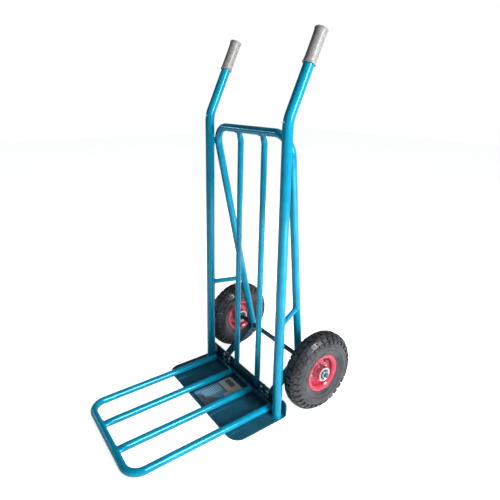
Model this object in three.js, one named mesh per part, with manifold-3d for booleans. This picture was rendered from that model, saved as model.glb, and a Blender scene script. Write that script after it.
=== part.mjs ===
// A two-wheeled tubular steel hand truck with a fold-out toe extension.
// Millimetres, +Z up, +Y towards the wheels, -Y towards the load.
// The origin is on the toe plate's underside, midway between the uprights' axes.
import * as THREE from 'three';
import { mergeVertices } from 'three/addons/utils/BufferGeometryUtils.js';
import Module from 'manifold-3d';

const wasm = await Module();
wasm.setup();

// ---- clearances ----
const gap = 0.3;                 // air between pieces that touch or are welded
const sideClearance = 5;         // between the folded extension and each upright
const foldClearance = 1.2;       // between the folded extension and the back bars
const knuckleGap = 0.5;          // end play between hinge knuckles

// ---- facets ----
const tubeSides = 14;
const cutSides = 28;             // finer than what it fits, so the cut's flats stay clear
const turnedSides = 20;
const tyreSides = 30;
const smallSides = 10;
const innerTubeSides = 16;

// ---- main tubes ----
const uprightX = 195;            // half the distance between the uprights' axes
const uprightRadius = 15;
const tubeWall = 1.8;
const handleBendZ = 920;
const handleLean = THREE.MathUtils.degToRad(24);
const handleBendRadius = 90;
const handleLength = 258;        // from the bend's corner to the grip's far end

const gripLength = 100;
const gripWall = 2.2;
const gripLip = 1.6;             // how far the lips stand out of the sleeve
const gripLipLength = 4;
const gripEnd = 3;

// ---- toe plate ----
const toeOverhang = 20;           // from each upright's axis out to the plate's side
const toeFrontY = -177;
const flangeSetback = 6;         // from the uprights' backs to the flange's front face
const sheet = 4;
const flangeEdge = 3;            // from the hinge brackets' tops up to the flange's top
const toeCornerRadius = 40;
const toeBend = 5;               // inside radius of the fold
const flangeChamfer = 11;

const labelHalfWidth = 45;
const labelSetback = 14;         // from the plate's front edge to the label
const labelBackY = -14;
const labelThickness = 0.4;

// ---- rear hoop ----
const hoopRadius = 12.5;
const hoopTopDrop = 37;          // from the handles' bend down to the hoop's top
const hoopBendRadius = 60;
const hoopContactTurn = THREE.MathUtils.degToRad(14);
const hoopTouchTurn = THREE.MathUtils.degToRad(75);   // from straight inboard, round the upright
const hoopFootX = 126;
const hoopFootBehind = 8.5;      // from the axle back to the foot
const hoopFootDrop = 22;         // from the axle down to the foot

// ---- back bars ----
const barRadius = 9.5;
const barX = 60;
const barFootSetback = 5;        // from the flange's front face to the bar's axis
const barFootZ = 20;
const barKneeY = 31.8;
const barKneeDrop = 36;          // from the hoop's top down to the knee
const barBendRadius = 50;
const barTopBehind = 2;          // from the hoop's axis back to the bar's top end
const rodWall = 1.5;

// ---- side ties ----
const tieRadius = 8;
const tieZ = 323;
const tieFrontDrop = 8;          // from the tie's end on the hoop down to its end on the upright

// ---- wheels and axle ----
const tyreRadius = 130;
const tyreHalfWidth = 35;
const tyreWall = 6.5;
const wheelOffset = 28;          // from each upright's axis out to its wheel's middle plane
const tyreTuck = 1.5;            // how far the crown reaches in front of the uprights' backs
const axleRadius = 8;
const axleStick = 10;            // how far the axle stands out of each hub
const axleChamfer = 2.5;
const axleCollarStep = 3;
const axleCollarLength = 4;
const boltTurn = THREE.MathUtils.degToRad(-10);

const rimHalfWidth = 25;
const rimRadius = 62;
const rimSheet = 2;
const beadRadius = 50;           // outside of the rim's barrel
const hubRadius = 23;
const hubHalfLength = 32;
const hubBore = 12;
const bearingRadius = 17.5;
const bearingWidth = 11;
const washerRadius = 11.5;
const washerThickness = 1.5;
const pushNutRadius = 10.5;
const pushNutThickness = 1.6;
const rimBend = 5;               // from the rim's flat web out to its barrel
const valveRadius = 3.5;
const valveBore = 1.5;
const valveTurn = THREE.MathUtils.degToRad(22);
const valveTip = [17, 0, 35];    // the stem leans outboard from the barrel to its tip
const valveRootX = 1;
const crownEase = 5.5;           // from the inner tube to the tyre's inside at the crown
const sideEase = 7.5;            // the same at the sidewalls
const beadEase = 6;              // from the rim's lip out to the inner tube
const innerTubeWall = 2.5;

// ---- axle arms ----
const armX = 132;
const armHalfWidth = 15;
const armThickness = 6;
const armFootDrop = 14.5;        // from the hinge bolts down to the arm's foot
const armDrop = 5.5;             // from the axle's centre down to the arm's centre line
const armShort = 5;              // from the arm's end to the axle's centre

// ---- toe extension ----
const extensionRadius = 11;
const extensionFrontY = -477;
const extensionCornerRadius = 45;
const innerTubeX = 58.5;
const hingeBarGap = 1;           // from the bar back to the knuckles
const hingeBarDrop = 3.5;        // from the hinge's axis down to the bar's top
const hingeBarDepth = 9.5;
const hingeBarThickness = 3;

// ---- hinges ----
const pinRadius = 3;
const knuckleRadius = 5;
const knuckleSetback = 1.5;      // from the knuckle to the flange's front face
const hingeHalfWidth = 23;
const movingHalfWidth = 9.5;
const leafThickness = 2.5;
const leafEdge = 6.7;            // from the bolts up to the leaf's top
const pinStick = 1;

// ---- fasteners ----
const boltRadius = 3;
const boltHeadHeight = 4;
const boltHeadRadius = 5.8;      // across the corners
const nutHeight = 5;
const hingeBoltPitch = 32;
const hingeBoltEase = 3;         // from the knuckles up to the bolt heads
const boltStick = 3;             // thread that stands out of the nut

// ---- sizes that follow ----
const plateTop = sheet;
const toeHalfWidth = uprightX + toeOverhang;
const flangeFrontY = uprightRadius + flangeSetback;
const flangeBackY = flangeFrontY + sheet;
const labelFrontY = toeFrontY + labelSetback;
const wheelX = uprightX + wheelOffset;
const axleY = uprightRadius + tyreRadius - tyreTuck;
const axleZ = tyreRadius;
const axleCollarRadius = axleRadius + axleCollarStep;
const rimBoltCircle = (hubRadius + beadRadius - rimBend) / 2;
const tubeOuterRadius = tyreRadius - tyreWall - crownEase;
const tubeInnerRadius = rimRadius + beadEase;
const innerTubeRadius = (tubeOuterRadius + tubeInnerRadius) / 2;
const tubeSectionR = (tubeOuterRadius - tubeInnerRadius) / 2;
const tubeSectionX = tyreHalfWidth - tyreWall - sideEase;
const valveRoot = [valveRootX, 0, tubeInnerRadius - 1];
const hoopTopZ = handleBendZ - hoopTopDrop;
const hoopFootY = axleY + hoopFootBehind;
const hoopFootZ = axleZ - hoopFootDrop;
const hoopContactDrop = hoopBendRadius * (1 - Math.sin(hoopContactTurn));
const hoopReach = uprightRadius + hoopRadius + gap;
const hoopTopY = hoopTopBack();
const hoopTopX = uprightX - hoopReach * Math.cos(hoopTouchTurn)
  + hoopBendRadius * (1 - Math.cos(hoopContactTurn));
const barFootY = flangeFrontY + barFootSetback;
const barKneeZ = hoopTopZ - barKneeDrop;
const gripBore = uprightRadius + gap;
const extensionX = uprightX - uprightRadius - sideClearance - extensionRadius;
const extensionZ = plateTop + gap + extensionRadius;
const extensionTop = extensionZ + extensionRadius;
const hingeX = (extensionX + innerTubeX) / 2;
const hingeY = flangeFrontY - knuckleSetback - knuckleRadius;
const hingeZ = hingeY + extensionTop - (barFootY - barRadius - foldClearance);
const hingeBarFrontY = hingeY - knuckleRadius - hingeBarGap - hingeBarDepth;
const hingeBarTopZ = hingeZ - hingeBarDrop;
const extensionBackY = hingeBarFrontY - gap;
const hingeBoltZ = hingeZ + knuckleRadius + hingeBoltEase + boltHeadRadius;
const leafTopZ = hingeBoltZ + leafEdge;
const flangeTop = leafTopZ + flangeEdge;
const armFootZ = hingeBoltZ - armFootDrop;
const leafBackY = flangeFrontY - gap;
const leafFrontY = leafBackY - leafThickness;
const axleEndX = wheelX + hubHalfLength + axleStick;

// The legs lean so that the bend touches the uprights, a little above where it starts.
function hoopTopBack() {
  const share = hoopContactDrop / (hoopTopZ - hoopFootZ);
  return (hoopReach * Math.sin(hoopTouchTurn) - share * hoopFootY) / (1 - share);
}

// ---- finishes ----
const bluePaint = { color: 0x1591b8, roughness: 0.3, metalness: 0.2 };
const tealPaint = { color: 0x1b4a5c, roughness: 0.3, metalness: 0.2 };
const redPaint = { color: 0xd83350, roughness: 0.35, metalness: 0.1 };
const zinc = { color: 0xc4c8cc, roughness: 0.35, metalness: 0.9 };
const greyPlastic = { color: 0xa5a2a0, roughness: 0.5, metalness: 0 };
const tyreRubber = { color: 0x3a3c40, roughness: 0.8, metalness: 0 };
const blackRubber = { color: 0x1c1d20, roughness: 0.7, metalness: 0 };
const labelFilm = { color: 0x8d98a3, roughness: 0.4, metalness: 0 };

const sides = [['left', -1], ['right', 1]];
const part = new THREE.Group();

// ---- making solids ----

// Turns every triangle round when the surface faces inwards.
function facingOut(geometry) {
  const plain = geometry.clone();
  plain.deleteAttribute('normal');
  plain.deleteAttribute('uv');
  const merged = mergeVertices(plain, 1e-4);
  const index = merged.index.array;
  const corner = [new THREE.Vector3(), new THREE.Vector3(), new THREE.Vector3()];
  let volume = 0;
  const kept = [];
  for (let i = 0; i < index.length; i += 3) {
    const [a, b, c] = [index[i], index[i + 1], index[i + 2]];
    if (a === b || b === c || c === a) continue;
    [a, b, c].forEach((vertex, k) => corner[k].fromBufferAttribute(merged.attributes.position, vertex));
    volume += corner[0].dot(corner[1].cross(corner[2]));
    kept.push([a, b, c]);
  }
  merged.setIndex(kept.flatMap(([a, b, c]) => (volume < 0 ? [a, c, b] : [a, b, c])));
  return merged;
}

function toSolid(geometry) {
  const closed = facingOut(geometry);
  return new wasm.Manifold(new wasm.Mesh({
    numProp: 3,
    vertProperties: new Float32Array(closed.attributes.position.array),
    triVerts: new Uint32Array(closed.index.array),
  }));
}

function toGeometry(solid) {
  const mesh = solid.getMesh();
  const geometry = new THREE.BufferGeometry();
  geometry.setAttribute('position', new THREE.BufferAttribute(mesh.vertProperties, 3));
  geometry.setIndex(new THREE.BufferAttribute(mesh.triVerts, 1));
  return geometry;
}

function cut(geometry, ...tools) {
  return toGeometry(tools.reduce((rest, tool) => rest.subtract(toSolid(tool)), toSolid(geometry)));
}

function join(geometry, ...others) {
  return toGeometry(others.reduce((whole, other) => whole.add(toSolid(other)), toSolid(geometry)));
}

function common(geometry, other) {
  return toGeometry(toSolid(geometry).intersect(toSolid(other)));
}

function place(parent, name, geometry, finish) {
  const mesh = new THREE.Mesh(facingOut(geometry), new THREE.MeshStandardMaterial(finish));
  mesh.name = name;
  parent.add(mesh);
  return mesh;
}

// A box given by its lowest and highest corners.
function box(low, high) {
  const size = high.map((value, k) => value - low[k]);
  const geometry = new THREE.BoxGeometry(...size);
  return geometry.translate(...low.map((value, k) => value + size[k] / 2));
}

// A straight round bar between two points.
function rod(from, to, radius, count = tubeSides) {
  const start = new THREE.Vector3(...from);
  const along = new THREE.Vector3(...to).sub(start);
  const geometry = new THREE.CylinderGeometry(radius, radius, along.length(), count);
  geometry.translate(0, along.length() / 2, 0);
  const turn = new THREE.Quaternion().setFromUnitVectors(new THREE.Vector3(0, 1, 0), along.normalize());
  return geometry.applyQuaternion(turn).translate(...from);
}

// What is cut out of a piece so that it stays clear of a round bar.
function clearOf(from, to, radius) {
  return rod(from, to, radius + gap, cutSides);
}

// A closed outline of (radius, distance along the axis) points turned about the X axis.
function turned(outline, count = turnedSides, closed = true) {
  const points = outline.map(([radius, along]) => new THREE.Vector2(radius, along));
  if (closed) points.push(points[0].clone());
  return new THREE.LatheGeometry(points, count).rotateZ(-Math.PI / 2);
}

function washer(inner, outer, from, to, count = turnedSides) {
  return turned([[inner, from], [outer, from], [outer, to], [inner, to]], count);
}

// A bent tube's centre line: straight runs between corners, each corner rounded by an arc.
class TubeRoute extends THREE.Curve {
  constructor(corners, bendRadius, turnPerStep = THREE.MathUtils.degToRad(19)) {
    super();
    const at = corners.map((corner) => new THREE.Vector3(...corner));
    const heading = at.slice(1).map((point, i) => point.clone().sub(at[i]).normalize());
    this.stations = [at[0]];
    this.headings = [heading[0]];
    for (let i = 1; i < at.length - 1; i += 1) {
      const turn = heading[i - 1].angleTo(heading[i]);
      const inward = heading[i].clone().addScaledVector(heading[i - 1], -Math.cos(turn)).normalize();
      const start = at[i].clone().addScaledVector(heading[i - 1], -bendRadius * Math.tan(turn / 2));
      const steps = Math.ceil(turn / turnPerStep);
      for (let k = 0; k <= steps; k += 1) {
        const angle = (turn * k) / steps;
        this.stations.push(start.clone()
          .addScaledVector(heading[i - 1], bendRadius * Math.sin(angle))
          .addScaledVector(inward, bendRadius * (1 - Math.cos(angle))));
        this.headings.push(heading[i - 1].clone().multiplyScalar(Math.cos(angle))
          .addScaledVector(inward, Math.sin(angle)));
      }
    }
    this.stations.push(at[at.length - 1]);
    this.headings.push(heading[heading.length - 1]);
    this.steps = this.stations.length - 1;
  }

  getUtoTmapping(u) {
    return u;
  }

  getPoint(t, target = new THREE.Vector3()) {
    return target.copy(this.stations[Math.round(t * this.steps)]);
  }

  getTangent(t, target = new THREE.Vector3()) {
    return target.copy(this.headings[Math.round(t * this.steps)]);
  }
}

// A tube along a route, or a solid bar when it has no wall.
function tube(route, radius, wall = 0) {
  const section = new THREE.Shape().absarc(0, 0, radius, 0, Math.PI * 2);
  if (wall > 0) section.holes.push(new THREE.Path().absarc(0, 0, radius - wall, 0, Math.PI * 2));
  return new THREE.ExtrudeGeometry(section, {
    extrudePath: route,
    steps: route.steps,
    curveSegments: tubeSides / 2,
  });
}

function straight(from, to) {
  return new TubeRoute([from, to], 1);
}

// A flat outline of (x, y) corners, as thick as given, from z = 0 upwards.
function slab(outline, thickness) {
  const shape = new THREE.Shape(outline.map(([x, y]) => new THREE.Vector2(x, y)));
  return new THREE.ExtrudeGeometry(shape, { depth: thickness, bevelEnabled: false });
}

// ---- uprights with their bent handles and grips ----

const handleUp = [0, Math.sin(handleLean), Math.cos(handleLean)];

function alongHandle(x, distance) {
  return [x, handleUp[1] * distance, handleBendZ + handleUp[2] * distance];
}

function makeUpright(x) {
  const top = handleLength - gripEnd - gap;
  const corners = [[x, 0, plateTop + gap], [x, 0, handleBendZ], alongHandle(x, top)];
  return tube(new TubeRoute(corners, handleBendRadius), uprightRadius, tubeWall);
}

function makeGrip() {
  const body = gripBore + gripWall;
  const lip = body + gripLip;
  const outline = [
    [0, gripLength - gripEnd], [gripBore, gripLength - gripEnd], [gripBore, 0], [lip - 0.5, 0],
    [lip, gripLipLength], [body, gripLipLength + 3], [body, gripLength - gripLipLength - 3],
    [lip, gripLength - gripLipLength], [lip - 1.2, gripLength - 1.5], [0, gripLength],
  ];
  return turned(outline, turnedSides, false).rotateY(-Math.PI / 2);
}

for (const [side, sign] of sides) {
  place(part, `${side}_upright`, makeUpright(sign * uprightX), bluePaint);
  const grip = place(part, `${side}_grip`, makeGrip(), greyPlastic);
  grip.position.set(...alongHandle(sign * uprightX, handleLength - gripLength));
  grip.rotation.x = -handleLean;
}

// ---- toe plate: a sheet folded up at the back, with a label on it ----

function makeToePlate() {
  const fold = new THREE.Shape();
  fold.moveTo(toeFrontY, 0);
  fold.lineTo(flangeBackY - toeBend - sheet, 0);
  fold.absarc(flangeBackY - toeBend - sheet, toeBend + sheet, toeBend + sheet, -Math.PI / 2, 0, false);
  fold.lineTo(flangeBackY, flangeTop);
  fold.lineTo(flangeFrontY, flangeTop);
  fold.lineTo(flangeFrontY, toeBend + sheet);
  fold.absarc(flangeFrontY - toeBend, toeBend + sheet, toeBend, 0, -Math.PI / 2, true);
  fold.lineTo(toeFrontY, sheet);
  const folded = new THREE.ExtrudeGeometry(fold, {
    depth: toeHalfWidth * 2,
    bevelEnabled: false,
    curveSegments: 4,
  });
  // The section is drawn in (y, z): turn its x to +Y, its y to +Z and its depth to +X.
  folded.applyMatrix4(new THREE.Matrix4().set(0, 0, 1, -toeHalfWidth, 1, 0, 0, 0, 0, 1, 0, 0, 0, 0, 0, 1));

  const plan = new THREE.Shape();
  plan.moveTo(-toeHalfWidth, flangeBackY + 1);
  plan.lineTo(-toeHalfWidth, toeFrontY + toeCornerRadius);
  plan.absarc(toeCornerRadius - toeHalfWidth, toeFrontY + toeCornerRadius, toeCornerRadius,
    Math.PI, Math.PI * 1.5, false);
  plan.absarc(toeHalfWidth - toeCornerRadius, toeFrontY + toeCornerRadius, toeCornerRadius,
    -Math.PI / 2, 0, false);
  plan.lineTo(toeHalfWidth, flangeBackY + 1);
  const outline = new THREE.ExtrudeGeometry(plan, {
    depth: flangeTop * 2,
    bevelEnabled: false,
    curveSegments: 8,
  });
  outline.translate(0, 0, -flangeTop / 2);

  const corners = sides.map(([, sign]) => {
    const tip = [sign * (toeHalfWidth + 1), flangeTop + 1];
    const reach = flangeChamfer + 2;
    const ear = slab([tip, [tip[0], tip[1] - reach], [tip[0] - sign * reach, tip[1]]], sheet * 4);
    return ear.rotateX(Math.PI / 2).translate(0, flangeBackY + sheet, 0);
  });
  const holes = sides.flatMap(([, sign]) => hingeBoltsX(sign).map((x) => (
    rod([x, flangeFrontY - 1, hingeBoltZ], [x, flangeBackY + 1, hingeBoltZ], boltRadius + gap, smallSides)
  )));
  return cut(common(folded, outline), ...corners, ...holes);
}

function hingeBoltsX(sign) {
  return [-1, 1].map((end) => sign * hingeX + (end * hingeBoltPitch) / 2);
}

place(part, 'toe_plate', makeToePlate(), tealPaint);
place(part, 'label', box(
  [-labelHalfWidth, labelFrontY, plateTop + gap],
  [labelHalfWidth, labelBackY, plateTop + gap + labelThickness],
), labelFilm);

// ---- axle: a turned bar with a stop collar inside each hub ----

function makeAxle() {
  const stop = wheelX - hubHalfLength - washerThickness - gap * 2;
  const half = [
    [0, axleEndX], [axleRadius - axleChamfer, axleEndX], [axleRadius, axleEndX - axleChamfer],
    [axleRadius, stop], [axleCollarRadius, stop], [axleCollarRadius, stop - axleCollarLength],
    [axleRadius, stop - axleCollarLength],
  ];
  const outline = [...half, ...half.map(([radius, along]) => [radius, -along]).reverse()];
  return turned(outline, tubeSides, false).translate(0, axleY, axleZ);
}

place(part, 'axle', makeAxle(), tealPaint);

// ---- rear hoop: one bent tube from the axle over the top and down again ----

const hoopTop = [[-hoopTopX, hoopTopY, hoopTopZ], [hoopTopX, hoopTopY, hoopTopZ]];
const hoopFoot = sides.map(([, sign]) => [sign * hoopFootX, hoopFootY, hoopFootZ]);
const axleSaddle = clearOf([-uprightX, axleY, axleZ], [uprightX, axleY, axleZ], axleRadius);

function makeHoop() {
  const corners = [hoopFoot[0], hoopTop[0], hoopTop[1], hoopFoot[1]];
  return cut(tube(new TubeRoute(corners, hoopBendRadius), hoopRadius, tubeWall), axleSaddle);
}

place(part, 'rear_hoop', makeHoop(), bluePaint);

// ---- back bars: slotted over the flange, bent forward to the hoop's top ----

function makeBackBar(x) {
  const top = [x, hoopTopY + barTopBehind, hoopTopZ];
  const knee = [x, barKneeY, barKneeZ];
  const route = new TubeRoute([[x, barFootY, barFootZ], knee, top], barBendRadius);
  const slot = box([x - barRadius * 2, leafBackY, 0], [x + barRadius * 2, flangeBackY + gap, flangeTop + gap]);
  const crown = clearOf([x - barRadius * 2, hoopTopY, hoopTopZ], [x + barRadius * 2, hoopTopY, hoopTopZ],
    hoopRadius);
  return cut(tube(route, barRadius, rodWall), slot, crown);
}

for (const [side, sign] of sides) {
  place(part, `${side}_back_bar`, makeBackBar(sign * barX), bluePaint);
}

// ---- side ties: short tubes from each upright back to the hoop's leg ----

function makeTie(sign) {
  const share = (hoopTopZ - tieZ) / (hoopTopZ - hoopFootZ);
  const [top, foot] = [hoopTop[(sign + 1) / 2], hoopFoot[(sign + 1) / 2]];
  const back = top.map((value, k) => value + (foot[k] - value) * share);
  const front = [sign * uprightX, 0, tieZ - tieFrontDrop];
  const upright = clearOf([front[0], 0, 0], [front[0], 0, tieZ * 2], uprightRadius);
  const leg = clearOf(foot, top, hoopRadius);
  return cut(tube(straight(front, back), tieRadius, rodWall), upright, leg);
}

for (const [side, sign] of sides) {
  place(part, `${side}_tie`, makeTie(sign), bluePaint);
}

// ---- axle arms: flat bars from the flange back to the axle ----

function makeArm(sign) {
  const rise = axleZ - armFootZ;
  const run = axleY - flangeBackY;
  const slope = Math.atan2(rise, run) - Math.asin(armDrop / Math.hypot(rise, run));
  const length = Math.hypot(rise, run);
  const bar = box([-armHalfWidth, -length, -armThickness / 2], [armHalfWidth, length, armThickness / 2]);
  bar.rotateX(slope).translate(sign * armX, flangeBackY + gap, armFootZ);
  const ahead = box([-uprightX * 2, -length * 2, -length * 2], [uprightX * 2, flangeBackY + gap, length * 2]);
  const beyond = box([-uprightX * 2, axleY - armShort, -length * 2], [uprightX * 2, length * 4, length * 4]);
  const leg = clearOf(hoopFoot[(sign + 1) / 2], hoopTop[(sign + 1) / 2], hoopRadius);
  return cut(bar, ahead, beyond, axleSaddle, leg);
}

for (const [side, sign] of sides) {
  place(part, `${side}_axle_arm`, makeArm(sign), tealPaint);
}

// ---- hinges: a fixed leaf bolted to the flange, a moving leaf and a pin ----

const pinBore = rod([-hingeX * 2, hingeY, hingeZ], [hingeX * 2, hingeY, hingeZ], pinRadius + gap, smallSides);

function knuckle(from, to) {
  return rod([from, hingeY, hingeZ], [to, hingeY, hingeZ], knuckleRadius, smallSides);
}

function makeFixedLeaf(x) {
  const notch = movingHalfWidth + knuckleGap;
  const leaf = box([x - hingeHalfWidth, leafFrontY, hingeZ], [x + hingeHalfWidth, leafBackY, leafTopZ]);
  const window = box(
    [x - notch, hingeY - knuckleRadius * 2, hingeZ - knuckleRadius * 2],
    [x + notch, flangeFrontY, hingeZ + knuckleRadius + 2],
  );
  const holes = [-1, 1].map((end) => {
    const holeX = x + (end * hingeBoltPitch) / 2;
    return rod([holeX, leafFrontY - 1, hingeBoltZ], [holeX, leafBackY + 1, hingeBoltZ], boltRadius + gap,
      smallSides);
  });
  return cut(join(leaf, knuckle(x - hingeHalfWidth, x + hingeHalfWidth)), window, pinBore, ...holes);
}

function makeMovingLeaf(x) {
  const low = hingeBarTopZ + gap;
  const leaf = box(
    [x - movingHalfWidth, hingeBarFrontY + 1.5, low],
    [x + movingHalfWidth, hingeY - knuckleRadius / 2, low + leafThickness],
  );
  return cut(join(leaf, knuckle(x - movingHalfWidth, x + movingHalfWidth)), pinBore);
}

// A hexagonal prism along Y from one y to another, with a flat below.
function hexagon(x, fromY, toY, z) {
  const geometry = new THREE.CylinderGeometry(boltHeadRadius, boltHeadRadius, toY - fromY, 6);
  return geometry.rotateY(Math.PI / 6).translate(x, (fromY + toY) / 2, z);
}

function makeHingeBolt(x) {
  const headBack = leafFrontY - gap;
  const end = flangeBackY + gap + nutHeight + boltStick;
  const shank = rod([x, headBack - 1, hingeBoltZ], [x, end, hingeBoltZ], boltRadius, smallSides);
  return join(hexagon(x, headBack - boltHeadHeight, headBack, hingeBoltZ), shank);
}

function makeHingeNut(x) {
  const face = flangeBackY + gap;
  const bore = rod([x, face - 1, hingeBoltZ], [x, face + nutHeight + 1, hingeBoltZ], boltRadius + gap, smallSides);
  return cut(hexagon(x, face, face + nutHeight, hingeBoltZ), bore);
}

const extension = new THREE.Group();
part.add(extension);

for (const [side, sign] of sides) {
  const x = sign * hingeX;
  const reach = hingeHalfWidth + pinStick;
  place(part, `${side}_hinge_bracket`, makeFixedLeaf(x), tealPaint);
  place(part, `${side}_hinge_pin`, rod([x - reach, hingeY, hingeZ], [x + reach, hingeY, hingeZ],
    pinRadius, smallSides), zinc);
  place(extension, `${side}_hinge_leaf`, makeMovingLeaf(x), tealPaint);
  hingeBoltsX(sign).forEach((boltX, k) => {
    const where = k === (sign + 1) / 2 ? 'outer' : 'inner';
    place(part, `${side}_hinge_bolt_${where}`, makeHingeBolt(boltX), zinc);
    place(part, `${side}_hinge_nut_${where}`, makeHingeNut(boltX), zinc);
  });
}

// ---- toe extension: a bent outer tube, two inner tubes and an angle bar ----

function makeExtensionHoop() {
  const corners = [
    [-extensionX, extensionBackY, extensionZ], [-extensionX, extensionFrontY, extensionZ],
    [extensionX, extensionFrontY, extensionZ], [extensionX, extensionBackY, extensionZ],
  ];
  return tube(new TubeRoute(corners, extensionCornerRadius), extensionRadius, tubeWall);
}

function makeExtensionTube(x) {
  const front = [x, extensionFrontY, extensionZ];
  const bar = clearOf([x - extensionRadius * 2, extensionFrontY, extensionZ],
    [x + extensionRadius * 2, extensionFrontY, extensionZ], extensionRadius);
  return cut(tube(straight(front, [x, extensionBackY, extensionZ]), extensionRadius, tubeWall), bar);
}

function makeHingeBar() {
  const halfLength = extensionX + extensionRadius;
  const upright = box([-halfLength, hingeBarFrontY, plateTop + gap],
    [halfLength, hingeBarFrontY + hingeBarThickness, hingeBarTopZ]);
  const shelf = box([-halfLength, hingeBarFrontY, hingeBarTopZ - hingeBarThickness],
    [halfLength, hingeBarFrontY + hingeBarDepth, hingeBarTopZ]);
  return join(upright, shelf);
}

place(extension, 'extension_hoop', makeExtensionHoop(), bluePaint);
for (const [side, sign] of sides) {
  place(extension, `${side}_extension_tube`, makeExtensionTube(sign * innerTubeX), bluePaint);
}
place(extension, 'hinge_bar', makeHingeBar(), tealPaint);

// ---- wheels: outboard is +X in the wheel's own group ----

// The section's right half, from the crown down to the bead and up the inside.
function makeTyre() {
  const crown = tyreRadius;
  const half = tyreHalfWidth;
  const outer = [
    [crown, 0], [crown - 2.5, half * 0.43], [crown - 12, half * 0.76], [innerTubeRadius + 12, half * 0.94],
    [innerTubeRadius, half], [innerTubeRadius - 14, half * 0.95], [rimRadius - 0.5, rimHalfWidth - rimSheet - 0.8],
    [beadRadius + 2, rimHalfWidth - 7], [beadRadius + 2, rimHalfWidth - 12],
  ];
  const inner = [
    [rimRadius + 2, rimHalfWidth - 8], [innerTubeRadius, half - tyreWall],
    [crown - 15, half - tyreWall - 8], [crown - tyreWall, 0],
  ];
  const right = [...outer, ...inner];
  const left = right.slice(1, -1).map(([radius, along]) => [radius, -along]).reverse();
  return turned([...right, ...left], tyreSides);
}

function ellipseRing(halfX, halfR, count) {
  const outline = Array.from({ length: count }, (_, k) => {
    const angle = (k * Math.PI * 2) / count;
    return [innerTubeRadius + halfR * Math.cos(angle), halfX * Math.sin(angle)];
  });
  return turned(outline, innerTubeSides);
}

// The inner tube is a thin ring with its valve stem, open through the valve.
function makeInnerTube() {
  const sectionSides = 8;
  const skin = ellipseRing(tubeSectionX, tubeSectionR, sectionSides);
  const air = ellipseRing(tubeSectionX - innerTubeWall, tubeSectionR - innerTubeWall, sectionSides);
  return cut(join(skin, valveRod(valveRadius, 0, 1.1)), air, valveRod(valveBore, -0.1, 1.3));
}

// A bar along the valve stem, from one share of the way between its tip and its root to another.
function valveRod(radius, fromShare, toShare) {
  const at = (share) => valveTip.map((value, k) => value + (valveRoot[k] - value) * share);
  return aroundWheel(rod(at(fromShare), at(toShare), radius, smallSides), valveTurn);
}

const wheelBoltTurns = [0, 1, 2, 3].map((k) => boltTurn + (k * Math.PI) / 2);

function aroundWheel(geometry, turn) {
  return geometry.rotateX(-turn);
}

// One pressed half of the rim. It lies against the other half at the wheel's middle plane.
function makeRimHalf(outboard) {
  const t = rimSheet;
  const face = gap / 2;
  const web = hubRadius + gap;
  const outline = [
    [web, face], [beadRadius - 4, face], [beadRadius - 0.5, face + 3], [beadRadius, rimHalfWidth - 6],
    [rimRadius - 8, rimHalfWidth - t - 0.3], [rimRadius, rimHalfWidth - t], [rimRadius, rimHalfWidth],
    [rimRadius - 9.5, rimHalfWidth + 0.2], [beadRadius - 2.4, rimHalfWidth - 4.5],
    [beadRadius - 2.8, face + 5], [beadRadius - 5.5, face + t], [web, face + t],
  ];
  const signed = outline.map(([radius, along]) => [radius, outboard ? along : -along]);
  const holes = wheelBoltTurns.map((turn) => aroundWheel(
    rod([-9, 0, rimBoltCircle], [9, 0, rimBoltCircle], boltRadius + gap, smallSides), turn));
  const valveHole = valveRod(valveRadius + gap * 2, 0, 1);
  return cut(turned(signed), ...holes, ...(outboard ? [valveHole] : []));
}

function makeHub() {
  const pocket = bearingRadius + gap;
  const shoulder = hubHalfLength - bearingWidth - gap;
  const half = [[hubRadius, hubHalfLength], [pocket, hubHalfLength], [pocket, shoulder], [hubBore, shoulder]];
  const mirrored = half.map(([radius, along]) => [radius, -along]).reverse();
  return turned([...half, ...mirrored]);
}

// A bolt through both rim halves with its nut run up tight.
function makeRimBolt(turn) {
  const face = gap / 2 + rimSheet + gap;
  const head = new THREE.CylinderGeometry(boltHeadRadius, boltHeadRadius, boltHeadHeight, 6);
  head.rotateZ(Math.PI / 2).translate(face + boltHeadHeight / 2, 0, rimBoltCircle);
  const nut = new THREE.CylinderGeometry(boltHeadRadius, boltHeadRadius, nutHeight, 6);
  nut.rotateZ(Math.PI / 2).translate(-face - nutHeight / 2, 0, rimBoltCircle);
  const shank = rod([-face - nutHeight - boltStick, 0, rimBoltCircle], [face + 1, 0, rimBoltCircle],
    boltRadius, smallSides);
  return aroundWheel(join(head, shank, nut), turn);
}

for (const [side, sign] of sides) {
  const wheel = new THREE.Group();
  wheel.position.set(sign * wheelX, axleY, axleZ);
  wheel.rotation.z = sign < 0 ? Math.PI : 0;
  part.add(wheel);

  place(wheel, `${side}_tyre`, makeTyre(), tyreRubber);
  place(wheel, `${side}_inner_tube`, makeInnerTube(), blackRubber);
  place(wheel, `${side}_rim_outer`, makeRimHalf(true), redPaint);
  place(wheel, `${side}_rim_inner`, makeRimHalf(false), redPaint);
  place(wheel, `${side}_hub`, makeHub(), zinc);
  for (const [end, direction] of [['outer', 1], ['inner', -1]]) {
    const [from, to] = [hubHalfLength - bearingWidth, hubHalfLength].map((along) => along * direction);
    place(wheel, `${side}_bearing_${end}`, washer(axleRadius + gap, bearingRadius, from, to), zinc);
  }
  wheelBoltTurns.forEach((turn, k) => {
    place(wheel, `${side}_rim_bolt_${k + 1}`, makeRimBolt(turn), zinc);
  });
}

// ---- washers and push-on retaining rings, which stay on the axle ----

function placeOnAxle(name, outerRadius, from, to) {
  const ring = washer(axleRadius + gap, outerRadius, from, to, tubeSides);
  place(part, name, ring.translate(0, axleY, axleZ), zinc);
}

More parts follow.
